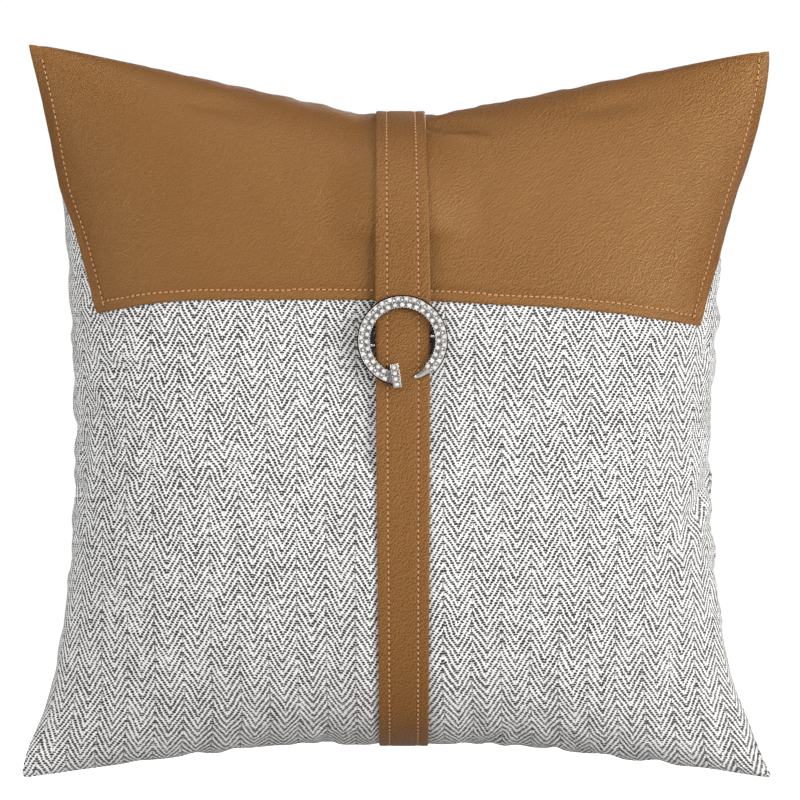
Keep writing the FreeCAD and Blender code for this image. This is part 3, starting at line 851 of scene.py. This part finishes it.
# under the flap the cloth lies smooth and a little deeper
under_flap = ease(front_smooth[..., 2] - flap_edge(front_smooth[..., 0]), 0.004, 0.016)
leather_net = without_folds(front_smooth + FOLDS[0] * 0.35 * fold_gain(front_smooth), 4)
leather_net = press(leather_net, LEATHER_DENTS)
front_panel_net = (
    front_folded * (1 - under_flap[..., None])
    + (leather_net - front_out * 0.0006) * under_flap[..., None]
)
rim_mask = np.ones((NET, NET), bool)
rim_mask[1:-1, 1:-1] = False
front_panel_net[rim_mask] = back_net[rim_mask]
leather_net[rim_mask] = back_net[rim_mask]

front_panel_net = meet_strap(front_panel_net, 0.286)
front_panel_net = crease(front_panel_net, front_out, 0.031, 0.3910, -4, 0.026, 0.0090, 0.0082)
leather_net = meet_strap(leather_net, 0.0)
back_net, zip_rows = lay_zip_rows(back_net)


def finish_cover(cover, node):
    """Gives a panel of the cover its thickness and its finish."""
    apply_modifier(cover, "SUBSURF", levels=1, render_levels=1)
    apply_modifier(cover, "SOLIDIFY", thickness=CLOTH_THICK, offset=-1)
    smooth(cover)
    finish_piece(cover, "cushion", "herringbone", HERRINGBONE, node)


def make_front_cover():
    finish_cover(panel_piece("cover_front", front_panel_net), "front_panel")


def make_back_cover():
    """The back panel, with the slit of the zip cut out of it."""
    cover = panel_piece("cover_back", back_net, -1)
    lower, upper = zip_rows
    from_middle = abs(zip_places(back_net)[..., 0])

    def in_slit(polygon):
        rows = [v % NET for v in polygon.vertices]
        columns = [NET - 1 - v // NET for v in polygon.vertices]
        reach = max(from_middle[c, r] for c, r in zip(columns, rows))
        return all(lower <= r <= upper for r in rows) and reach < ZIP_REACH

    edit_faces(cover, in_slit)
    bpy.ops.mesh.delete(type="FACE")
    bpy.ops.object.mode_set(mode="OBJECT")
    finish_cover(cover, "back_panel")


def make_inside():
    """The insert's shell and the fibre in it, each a little smaller than what holds it."""
    for name, shrink, paint, slot, nodes in (
        ("insert_shell", 0.0034, INSERT_CLOTH, "insert_cloth", ("insert_shell_front", "insert_shell_back")),
        ("fibre_core", 0.0052, FIBRE, "fibre", ("fibre_fill",)),
    ):
        halves = []
        for net, facing in ((front_smooth, 1), (back_smooth, -1)):
            inner = net[::2, ::2].copy()
            inner[..., 0] *= 0.965 - shrink / 0.20 - 0.035 * (inner[..., 2] / 0.22 - 1) ** 2
            inner[..., 1] = SEAM + (inner[..., 1] - SEAM) * (1 - shrink / 0.0645)
            inner[..., 2] = inner[..., 2] * (1 - 0.0285 / 0.44) + 0.0140 + shrink / 2
            halves.append(panel_piece(name, inner, facing))
        whole = join(name, halves)
        close_up(whole, 0.0002)
        smooth(whole)
        finish_piece(whole, "cushion", slot, paint, *nodes)


make_front_cover()
make_back_cover()
make_inside()


# ---- stitches ----


def stitch_model(length, width):
    """One stitch: a short soft capsule, lower than it is wide."""
    deselect()
    bpy.ops.mesh.primitive_cylinder_add(vertices=6, radius=width / 2, depth=length * 0.72)
    o = bpy.context.object
    o.data.transform(Matrix.Rotation(math.pi / 2, 4, "Y"))
    edit_faces(o, lambda polygon: abs(polygon.normal.x) > 0.9)
    bpy.ops.mesh.extrude_faces_move(TRANSFORM_OT_shrink_fatten={"value": length * 0.14})
    bpy.ops.object.mode_set(mode="OBJECT")
    for v in o.data.vertices:
        if abs(v.co.x) > length * 0.4:
            v.co.y *= 0.5
            v.co.z = v.co.z * 0.5 - width * 0.2
        v.co.z *= 0.8
    smooth(o)
    return o


HOLES = []


def hole_model():
    """A flat dark bead: painted shade for the mouth of a needle hole."""
    deselect()
    bpy.ops.mesh.primitive_uv_sphere_add(segments=6, ring_count=4, radius=0.0005)
    o = bpy.context.object
    o.data.transform(Matrix.Diagonal((0.9, 1.0, 0.6, 1)))
    return o


def sew(name, points, outs, model):
    """A row of stitches along a line of points, each lying on the surface between two holes."""
    hole = hole_model()
    gone = distances(points)
    count = int(gone[-1] / PITCH)
    stitches = []
    wobble = np.random.default_rng(7)
    for k in range(count):
        middle = (k + 0.5) * gone[-1] / count
        at, before, after = (Vector(resample(points, gone, middle + d)) for d in (0, -0.0015, 0.0015))
        up = Vector(resample(outs, gone, middle)).normalized()
        side = up.cross((after - before).normalized()).normalized()
        basis = Matrix((side.cross(up), side, up)).transposed().to_4x4()
        slant = Matrix.Rotation(math.radians(6 + wobble.uniform(-4, 4)), 4, "Z")
        place = Matrix.Translation(at) @ basis @ slant
        stitches.append(copy_at(model, place))
        HOLES.append(copy_at(hole, place @ Matrix.Translation((PITCH / 2, 0, -0.00002))))
    remove(hole)
    return join(name, stitches)


def finish_holes(name):
    """Joins the holes of the rows sewn so far into one piece."""
    holes = join(name, HOLES)
    HOLES.clear()
    finish_piece(holes, "cushion", "tan_leather", NEEDLE_HOLE_SHADE)


# ---- flap ----


def fine_steps(length, step, edges):
    """Distances from 0 to length, close together within the edges given."""
    marks = [0, 0.0003, 0.0007, 0.0012]
    inner = np.linspace(0.002, length - 0.002, int(length / step))
    near = marks if edges[0] else [0, 0.001]
    far = [length - m for m in reversed(marks)] if edges[1] else [length - 0.001, length]
    return np.concatenate([near, inner, far])


def flap_height(to_edge):
    """How far the leather stands off the cloth, by its distance from the nearest free edge."""
    worn = 0.00055 * (1 - np.clip(to_edge / 0.0013, 0, 1)) ** 2
    groove = 0.00045 * np.exp(-(((to_edge - INSET) / 0.0010) ** 2))
    valley = 0.00050 * np.exp(-(((to_edge - INSET) / 0.0035) ** 2))
    return FLAP_LIFT + FLAP_THICK - worn - groove - valley


def side_line(sign):
    """Flat cloth coordinates down one side of the flap, from the seam's corner to its low corner."""
    low_x, low_z = FLAP_EDGE[0] if sign < 0 else FLAP_EDGE[-1]
    top_x, top_z = (-0.2215, 0.440) if sign < 0 else (0.2225, 0.435)
    marks = [(sign * (HALF - 0.0002), HALF - 0.0006)]
    for share in np.linspace(0.12, 1, 12):
        x = top_x + (low_x - top_x) * share
        z = top_z + (low_z - top_z) * share
        level = leather_net[-1 if sign > 0 else 0]
        rim = np.interp(z, level[:, 2], level[:, 0])
        if abs(x) > abs(rim) - (0.0048 if z > 0.345 else 0.0020):
            up = np.linspace(-HALF, HALF, NET)
            marks.append((sign * (HALF - 0.0002), float(np.interp(z, level[:, 2], up))))
        else:
            marks.append(find_on(leather_net, x, z))
    return np.array(marks)


def along_line(marks, shares):
    """The places at the given shares of a line's length."""
    gone = distances(marks)
    return resample(marks, gone, shares * gone[-1])


def soften(marks):
    """Evens out a line of marks, its ends kept."""
    for _ in range(2):
        marks[1:-1] = (marks[:-2] + 2 * marks[1:-1] + marks[2:]) / 4
    return marks


FLAP_SIDES = [soften(side_line(-1)), soften(side_line(1))]


def flap_coordinates(columns, rows):
    """Flat cloth coordinates of the flap, filled in between its four edges."""
    left, right = (along_line(side, rows) for side in FLAP_SIDES)
    xs = np.linspace(FLAP_EDGE[0][0], FLAP_EDGE[-1][0], 41)
    lows = np.array([find_on(leather_net, x, float(flap_edge(x))) for x in xs])
    share_of = (lows[:, 0] - lows[0, 0]) / (lows[-1, 0] - lows[0, 0])
    top_s = left[0, 0] + (right[0, 0] - left[0, 0]) * columns
    top = np.stack([top_s, np.full_like(columns, HALF - 0.0006)], axis=-1)
    low_s = lows[0, 0] + (lows[-1, 0] - lows[0, 0]) * columns
    low = np.stack([low_s, np.interp(columns, share_of, lows[:, 1])], axis=-1)
    (left_top, right_top), (left_low, right_low) = ([side[k] for side in FLAP_SIDES] for k in (0, -1))
    a, b = columns[:, None, None], rows[None, :, None]
    ends = (1 - b) * ((1 - a) * left_top + a * right_top) + b * ((1 - a) * left_low + a * right_low)
    place = (1 - a) * left[None] + a * right[None] + (1 - b) * top[:, None] + b * low[:, None] - ends
    return place[..., 0], place[..., 1]


def make_flap():
    """The leather flap, laid over the front, and its three rows of stitches."""
    wide, tall = 0.39, 0.150  # rough spans, which set how many columns and rows its mesh has
    columns = fine_steps(wide, 0.0016, (True, True)) / wide
    rows = fine_steps(tall, 0.0016, (False, True)) / tall
    s, t = flap_coordinates(columns, rows)
    low_edge = np.hypot(s[:, -1] - s[:, 0], t[:, -1] - t[:, 0])
    to_low = (1 - rows)[None] * low_edge[:, None]
    width = s[-1] - s[0]
    to_side = np.minimum(columns[:, None], 1 - columns[:, None]) * width[None]
    stand = flap_height(np.minimum(to_low, to_side))
    out = normals_on(leather_net, s, t)
    points = on_net(leather_net, s, t) + out * stand[..., None]
    points = crease(points, out, 0.030, 0.3915, -5, 0.018, 0.0040, 0.0070)
    points = crease(points, out, 0.034, 0.3850, -8, 0.018, 0.0024, -0.0014)
    points, s, t = points[:, ::-1], s[:, ::-1], t[:, ::-1]
    flap = net_object("leather_flap_skin", points, s + HALF, t + HALF)
    apply_modifier(flap, "SOLIDIFY", thickness=FLAP_THICK, offset=-1)
    smooth(flap, 50)
    finish_piece(flap, "cushion", "tan_leather", LEATHER, "leather_flap")
    model = stitch_model(0.0024, 0.0009)
    lay = FLAP_LIFT + FLAP_THICK - 0.00075

    def row(line_s, line_t, raised=0.0):
        at = on_net(leather_net, line_s, line_t)
        out = normals_on(leather_net, line_s, line_t)
        return at + out * (lay + raised), out

    fine_columns, fine_rows = np.linspace(0, 1, 601), np.linspace(0, 1, 241)
    s, t = flap_coordinates(fine_columns, fine_rows)
    columns_long = np.hypot(s[:, -1] - s[:, 0], t[:, -1] - t[:, 0])
    k = np.round((1 - INSET / columns_long) * 240).astype(int)
    ends = int(601 * INSET / 0.38)
    line = np.arange(601)[ends:-ends]
    parts = [sew("low", *row(s[line, k[line]], t[line, k[line]]), model)]
    for sign in (-1, 1):
        edge = on_net(leather_net, *along_line(FLAP_SIDES[(sign + 1) // 2], np.linspace(0, 1, 40)).T)
        seen = np.stack([edge[:, 0] - sign * INSET, edge[:, 2]], axis=-1)[1:-1]
        marks = soften(np.array([find_on(leather_net, x, z) for x, z in seen if z < 0.4330]))
        marks = along_line(marks, np.linspace(0, 1, 241))
        parts.append(sew("side", *row(marks[:, 0], marks[:, 1], 0.0007), model))
    remove(model)
    rows_done = join("flap_stitches", parts)
    finish_piece(rows_done, "cushion", "thread", THREAD, "flap_thread")
    finish_holes("flap_needle_holes")


# ---- strap ----


def strap_sides(z):
    """The strap's left and right edges, a little narrower where it turns over the cushion."""
    levels = [0.0, 0.06, 0.20, 0.282, 0.35, 0.405]
    left = np.interp(z, levels, [-0.0108, -0.0112, -0.0126, -0.0130, -0.0130, -0.0128])
    right = np.interp(z, levels, [0.0183, 0.0186, 0.0192, 0.0196, 0.0184, 0.0164])
    return left, right


def make_strap():
    """The strap's two layers and its two rows of stitches."""
    line, out, gone = strap_line()
    left, right = strap_sides(line[:, 1])
    wide = 2 * STRAP_HALF

    def places(share, height):
        """Places at a share of the strap's width, a height off its inner side."""
        y, z = (line[:, k] + out[:, k] * height for k in (0, 1))
        return np.stack(np.broadcast_arrays(left + (right - left) * share, y, z), axis=-1)

    across = fine_steps(wide, 0.0014, (True, True))[:, None] / wide
    to_edge = np.minimum(across, 1 - across) * wide
    worn = 0.0005 * (1 - np.clip(to_edge / 0.0013, 0, 1)) ** 2
    groove = 0.0004 * np.exp(-(((to_edge - STRAP_ROW) / 0.0010) ** 2))
    for name, top, thick, detail, node in (
        ("strap_face_skin", LINING + FACE, FACE, worn + groove, "strap_face"),
        ("strap_lining_skin", LINING - 0.00005, LINING - 0.0001, worn * 0.4, "strap_lining"),
    ):
        points = places(across, top - detail)[:, ::-1]
        # its own stretch of hide, away from the flap's
        hide = np.broadcast_arrays(across * wide + 0.7, gone[None])
        strap = net_object(name, points, *hide)
        apply_modifier(strap, "SOLIDIFY", thickness=thick, offset=-1)
        smooth(strap, 50)
        finish_piece(strap, "cushion", "tan_leather", LEATHER, node)
    model = stitch_model(0.0019, 0.0009)
    outs = np.stack([np.zeros(len(out)), out[:, 0], out[:, 1]], axis=-1)
    for side, share in (("left", STRAP_ROW / wide), ("right", 1 - STRAP_ROW / wide)):
        points = places(share, LINING + FACE - 0.00015)
        row = sew("strap_stitches_" + side, points[4:-4], outs[4:-4], model)
        finish_piece(row, "cushion", "thread", THREAD, "strap_thread_" + side)
    remove(model)
    finish_holes("strap_needle_holes")


# ---- ring ----

RING_CENTRE = Vector((STRAP_X, RING_BACK, RING_Z))
BAND_START = -48  # degrees from level, anticlockwise as seen from the front
BAND_SWEEP = 308
TIP_SWEEP = -25
TIP_STEPS = 13
BAR_LEAN = Matrix.Rotation(math.radians(-9), 4, "Y")
BAR_MIDDLE = RING_CENTRE + Vector((-0.0042, 0, -0.021))


def ring_place(degrees, distance, depth=0.0):
    """A frame on the ring: X outwards, Y along the band, Z towards the viewer."""
    a = math.radians(degrees)
    out = Vector((math.cos(a), 0, math.sin(a)))
    along = Vector((-math.sin(a), 0, math.cos(a)))
    basis = Matrix((out, along, Vector((0, -1, 0)))).transposed().to_4x4()
    return Matrix.Translation(RING_CENTRE + out * distance + Vector((0, -depth, 0))) @ basis


def band_profile():
    """The band's section, as distance from the ring's axis and depth in front of its back."""
    edge = 0.0005
    i, o, d = RING_INNER, RING_OUTER, RING_DEPTH
    return [
        (i + edge, 0),
        (o - edge, 0),
        (o, edge),
        (o, d - 0.0022),
        (o - 0.0006, d - 0.0020),
        (o - 0.0007, d - 0.0003),
        (o - 0.0009, d),
        (o - 0.0012, d - 0.00045),
        (i + 0.0010, d - 0.00045),
        (i + 0.0007, d),
        (i + 0.0005, d - 0.0003),
        (i + 0.0004, d - 0.0018),
        (i, d - 0.0020),
        (i, edge),
    ]


def section_object(name, corners, degrees):
    """A flat section across the ring, from its corners' distances from the axis and depths."""
    deselect()
    bpy.ops.mesh.primitive_circle_add(vertices=len(corners), fill_type="NGON")
    o = bpy.context.object
    o.name = name
    for vertex, (distance, depth) in zip(o.data.vertices, corners):
        vertex.co = ring_place(degrees, distance, depth).to_translation()
    return o


def make_band():
    """The cast band: its section spun about the ring's axis."""
    band = section_object("ring_band", band_profile(), BAND_START)
    edit_faces(band, lambda polygon: True)
    bpy.ops.mesh.spin(
        steps=110, angle=math.radians(BAND_SWEEP), center=RING_CENTRE, axis=(0, 1, 0), dupli=False
    )
    bpy.ops.object.mode_set(mode="OBJECT")
    close_up(band, 1e-6)
    smooth(band, 30)
    finish_piece(band, "ring", "ring_metal", PLATED_WITH_SHADE, "ring_base")


def tip_section(share):
    """The tip's section at a share of its length: its middle, and its half width and half depth."""
    inner = float(np.interp(share, (0, 0.14, 1), (0.0200, 0.0203, 0.0224)))
    outer = float(np.interp(share, (0, 0.14, 1), (0.0255, 0.0250, 0.0238)))
    depth = RING_DEPTH + (0.0022 - RING_DEPTH) * share
    rounding = max(0.12, math.sqrt(max(0.0, 1 - max(0.0, (share - 0.86) / 0.14) ** 2)))
    half_width = (outer - inner) / 2 * rounding * 0.98
    return (inner + outer) / 2, depth / 2, half_width, depth / 2 * rounding * 0.99


def make_tip():
    """The tapered tip: the ring carried on past the band while it shrinks to a rounded end."""
    out, forward, wide, deep = tip_section(0)
    corners = []
    for k in range(16):
        c, d = math.cos(math.pi * k / 8), math.sin(math.pi * k / 8)
        square = 1 / max(abs(c), abs(d)) ** 0.55
        corners.append((out + wide * square * c, forward + deep * square * d))
    tip = section_object("ring_tip", corners, BAND_START)
    edit_faces(tip, lambda polygon: True)
    for k in range(1, TIP_STEPS + 1):
        degrees = BAND_START + TIP_SWEEP * k / TIP_STEPS
        bpy.ops.mesh.extrude_region_move()
        bpy.ops.transform.rotate(
            value=math.radians(TIP_SWEEP / TIP_STEPS), orient_axis="Y", center_override=RING_CENTRE
        )
        here = ring_place(degrees, out, forward).to_translation()
        out, forward, new_wide, new_deep = tip_section(k / TIP_STEPS)
        thinner = (new_wide / wide, new_deep / deep, new_wide / wide)
        bpy.ops.transform.resize(value=thinner, center_override=here)
        bpy.ops.transform.translate(value=ring_place(degrees, out, forward).to_translation() - here)
        wide, deep = new_wide, new_deep
    bpy.ops.object.mode_set(mode="OBJECT")
    close_up(tip, 1e-7)
    smooth(tip, 40)
    finish_piece(tip, "ring", "ring_metal", BRIGHT_METAL)


def ring_block(name, size, place, corner, segments, paint):
    """A metal block with softened corners, on the ring."""
    deselect()
    bpy.ops.mesh.primitive_cube_add(size=1)
    o = bpy.context.object
    o.name = name
    o.data.transform(place @ Matrix.Diagonal((*size, 1)))
    apply_modifier(o, "BEVEL", width=corner, segments=segments)
    smooth(o, 40)
    finish_piece(o, "ring", "ring_metal", paint)


def make_ring():
    """The band with its tip, the stop bar with a bright strip down its right side as a painted highlight,
    and the ends of the hidden bar.
    """
    make_band()
    make_tip()
    stop = Matrix.Translation(BAR_MIDDLE + Vector((0, -0.0022, 0))) @ BAR_LEAN
    ring_block("ring_stop_bar", (0.0046, 0.0044, 0.0144), stop, 0.0005, 3, PLATED_WITH_SHADE)
    # painted highlight: a strip of bright metal down the stop bar's right side, the side the key light
    # falls on
    beside = stop @ Matrix.Translation((0.0024, -0.0001, 0))
    ring_block("ring_bar_lit_edge", (0.0007, 0.0046, 0.0146), beside, 0.0002, 2, BRIGHT_METAL)
    for name, x, z in (("bar_end_left", -0.0152, 0.2592), ("bar_end_right", 0.0212, 0.2646)):
        end = Matrix.Translation((x, RING_BACK - 0.0004, z))
        ring_block(name, (0.0032, 0.0014, 0.0013), end, 0.0003, 2, BRIGHT_METAL)


def stone_model(radius, height):
    """A cut stone: a flat table, a ring of facets and a straight girdle."""
    deselect()
    bpy.ops.mesh.primitive_cylinder_add(
        vertices=8, radius=radius, depth=height * 0.3, location=(0, 0, height * 0.15)
    )
    o = bpy.context.object
    o.data.transform(o.matrix_world)
    o.matrix_world = Matrix.Identity(4)
    edit_faces(o, lambda polygon: polygon.normal.z > 0.9)
    bpy.ops.mesh.extrude_region_move(TRANSFORM_OT_translate={"value": (0, 0, height * 0.4)})
    bpy.ops.transform.resize(value=(0.82, 0.82, 1))
    bpy.ops.mesh.extrude_region_move(TRANSFORM_OT_translate={"value": (0, 0, height * 0.3)})
    bpy.ops.transform.resize(value=(0.72, 0.72, 1))
    bpy.ops.object.mode_set(mode="OBJECT")
    return o


def bead_model(radius):
    """A small round bead of metal that holds two stones."""
    deselect()
    bpy.ops.mesh.primitive_uv_sphere_add(segments=8, ring_count=5, radius=radius)
    o = bpy.context.object
    smooth(o)
    return o


def make_stones():
    """Two staggered rows of stones, with small ones in the spaces and beads that hold them."""
    count = 26  # places round each row
    sweep = (BAND_SWEEP - 12) / count
    wobble = np.random.default_rng(11)
    stones, beads = [], []
    for distance, radius, stagger in (
        (0.02490, 0.00152, 0.5),
        (0.02120, 0.00150, 0.0),
        (0.02405, 0.00088, 0.0),
        (0.02575, 0.00048, 0.0),
        (0.01995, 0.00048, 0.5),
    ):
        model = stone_model(radius, 0.0009 + 0.25 * radius)
        for k in range(count):
            seat = ring_place(BAND_START + 2 + sweep * (k + stagger), distance, RING_DEPTH - 0.0006)
            for axis in "XY":
                seat = seat @ Matrix.Rotation(math.radians(wobble.uniform(-6, 6)), 4, axis)
            stones.append(copy_at(model, seat @ Matrix.Rotation(wobble.uniform(0, 1), 4, "Z")))
        remove(model)
    bead = bead_model(0.00042)
    for distance, staggers in ((0.02590, (0.25, 0.75)), (0.02330, (0.28, 0.72)), (0.01965, (0.22, 0.78))):
        for stagger in staggers:
            for k in range(count):
                degrees = BAND_START + 2 + sweep * (k + stagger)
                beads.append(copy_at(bead, ring_place(degrees, distance, RING_DEPTH + 0.0001)))
    front = BAR_MIDDLE + Vector((0, -0.0044, 0))
    stone = stone_model(0.00142, 0.0012)
    for k in range(4):
        up = 0.00345 * k
        seat = Matrix.Translation(front + BAR_LEAN @ Vector((-0.0002, 0, up - 0.0052)))
        stones.append(copy_at(stone, seat @ Matrix.Rotation(math.pi / 2, 4, "X")))
        for side in (-0.0018, 0.0018):
            spot = Matrix.Translation(front + BAR_LEAN @ Vector((side, -0.0001, up - 0.0035)))
            beads.append(copy_at(bead, spot))
    remove(stone)
    remove(bead)
    finish_piece(join("ring_cut_stones", stones), "ring", "stone", STONE, "ring_stones")
    finish_piece(join("ring_beads", beads), "ring", "ring_metal", BRIGHT_METAL)


make_flap()
make_strap()
make_ring()
make_stones()


# ---- finishes for the CAD nodes that stay ----

FINISHES = {
    GUNMETAL: ("ring_frame",),
    TAPE: ("zip_tape_lower", "zip_tape_upper"),
    COIL: ("zip_coil_lower", "zip_coil_upper"),
    ZIP_METAL: ("zip_stop_left", "zip_stop_right", "zip_slider", "zip_pull"),
}
for paint, nodes in FINISHES.items():
    for node in nodes:
        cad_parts[node].data.materials.clear()
        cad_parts[node].data.materials.append(paint)


# ---- studio ----


def make_studio():
    """A plain white floor that also glows to the camera."""
    material, n, shader, place = new_material("Studio white", Roughness=0.9)
    shader.inputs["Base Color"].default_value = (0.66, 0.66, 0.66, 1)
    shader.inputs["Emission Color"].default_value = (1, 1, 1, 1)
    seen = n.add("ShaderNodeLightPath").outputs["Is Camera Ray"]
    n.link(n.math("MULTIPLY", seen, 0.9), shader.inputs["Emission Strength"])
    deselect()
    bpy.ops.mesh.primitive_plane_add(size=1)
    floor = bpy.context.object
    floor.name = "floor"
    floor.data.transform(Matrix.Diagonal((16, 16, 1, 1)))
    floor.data.transform(Matrix.Translation((0, 0, -0.0006)))
    floor.data.materials.append(material)


def add_light(name, place, width, height, power):
    """A soft rectangular light that faces the middle of the cushion."""
    light = bpy.data.lights.new(name, "AREA")
    light.shape = "RECTANGLE"
    light.size = width
    light.size_y = height
    light.energy = power
    o = link_new(name, light)
    o.location = place
    o.rotation_mode = "QUATERNION"
    o.rotation_quaternion = (Vector((0, 0, 0.22)) - Vector(place)).to_track_quat("-Z", "Y")


def make_lights():
    """An even white sky and five soft lights, the strongest from the right."""
    world = bpy.data.worlds.new("Studio")
    bpy.context.scene.world = world
    world.use_nodes = True
    sky = Nodes(world.node_tree)
    background = world.node_tree.nodes["Background"]
    background.inputs[0].default_value = (1, 1, 1, 1)
    seen = sky.add("ShaderNodeLightPath").outputs["Is Camera Ray"]
    sky.link(sky.math("MULTIPLY_ADD", seen, 0.80, 0.22), background.inputs[1])
    add_light("key", (1.75, -1.35, 0.62), 1.3, 1.0, 46)
    add_light("fill", (-1.7, -1.2, 0.8), 1.3, 0.9, 19)
    add_light("front", (-0.3, -2.2, 1.2), 1.2, 0.8, 6)
    add_light("behind", (0.9, 2.2, 1.1), 1.2, 1.0, 24)
    add_light("top", (-0.2, -0.3, 1.8), 1.0, 0.8, 9)


def make_camera():
    """A long lens, level, straight in front of the cushion."""
    data = bpy.data.cameras.new("front")
    data.sensor_width = 36
    data.lens = 450
    data.clip_end = 50
    camera = link_new("front", data)
    camera.location = (0.0015, SEAM - 6.0, 0.2268)
    camera.rotation_euler = (math.pi / 2, 0, 0)
    bpy.context.scene.camera = camera


make_studio()
make_lights()
make_camera()
bpy.context.scene.view_settings.view_transform = "Standard"
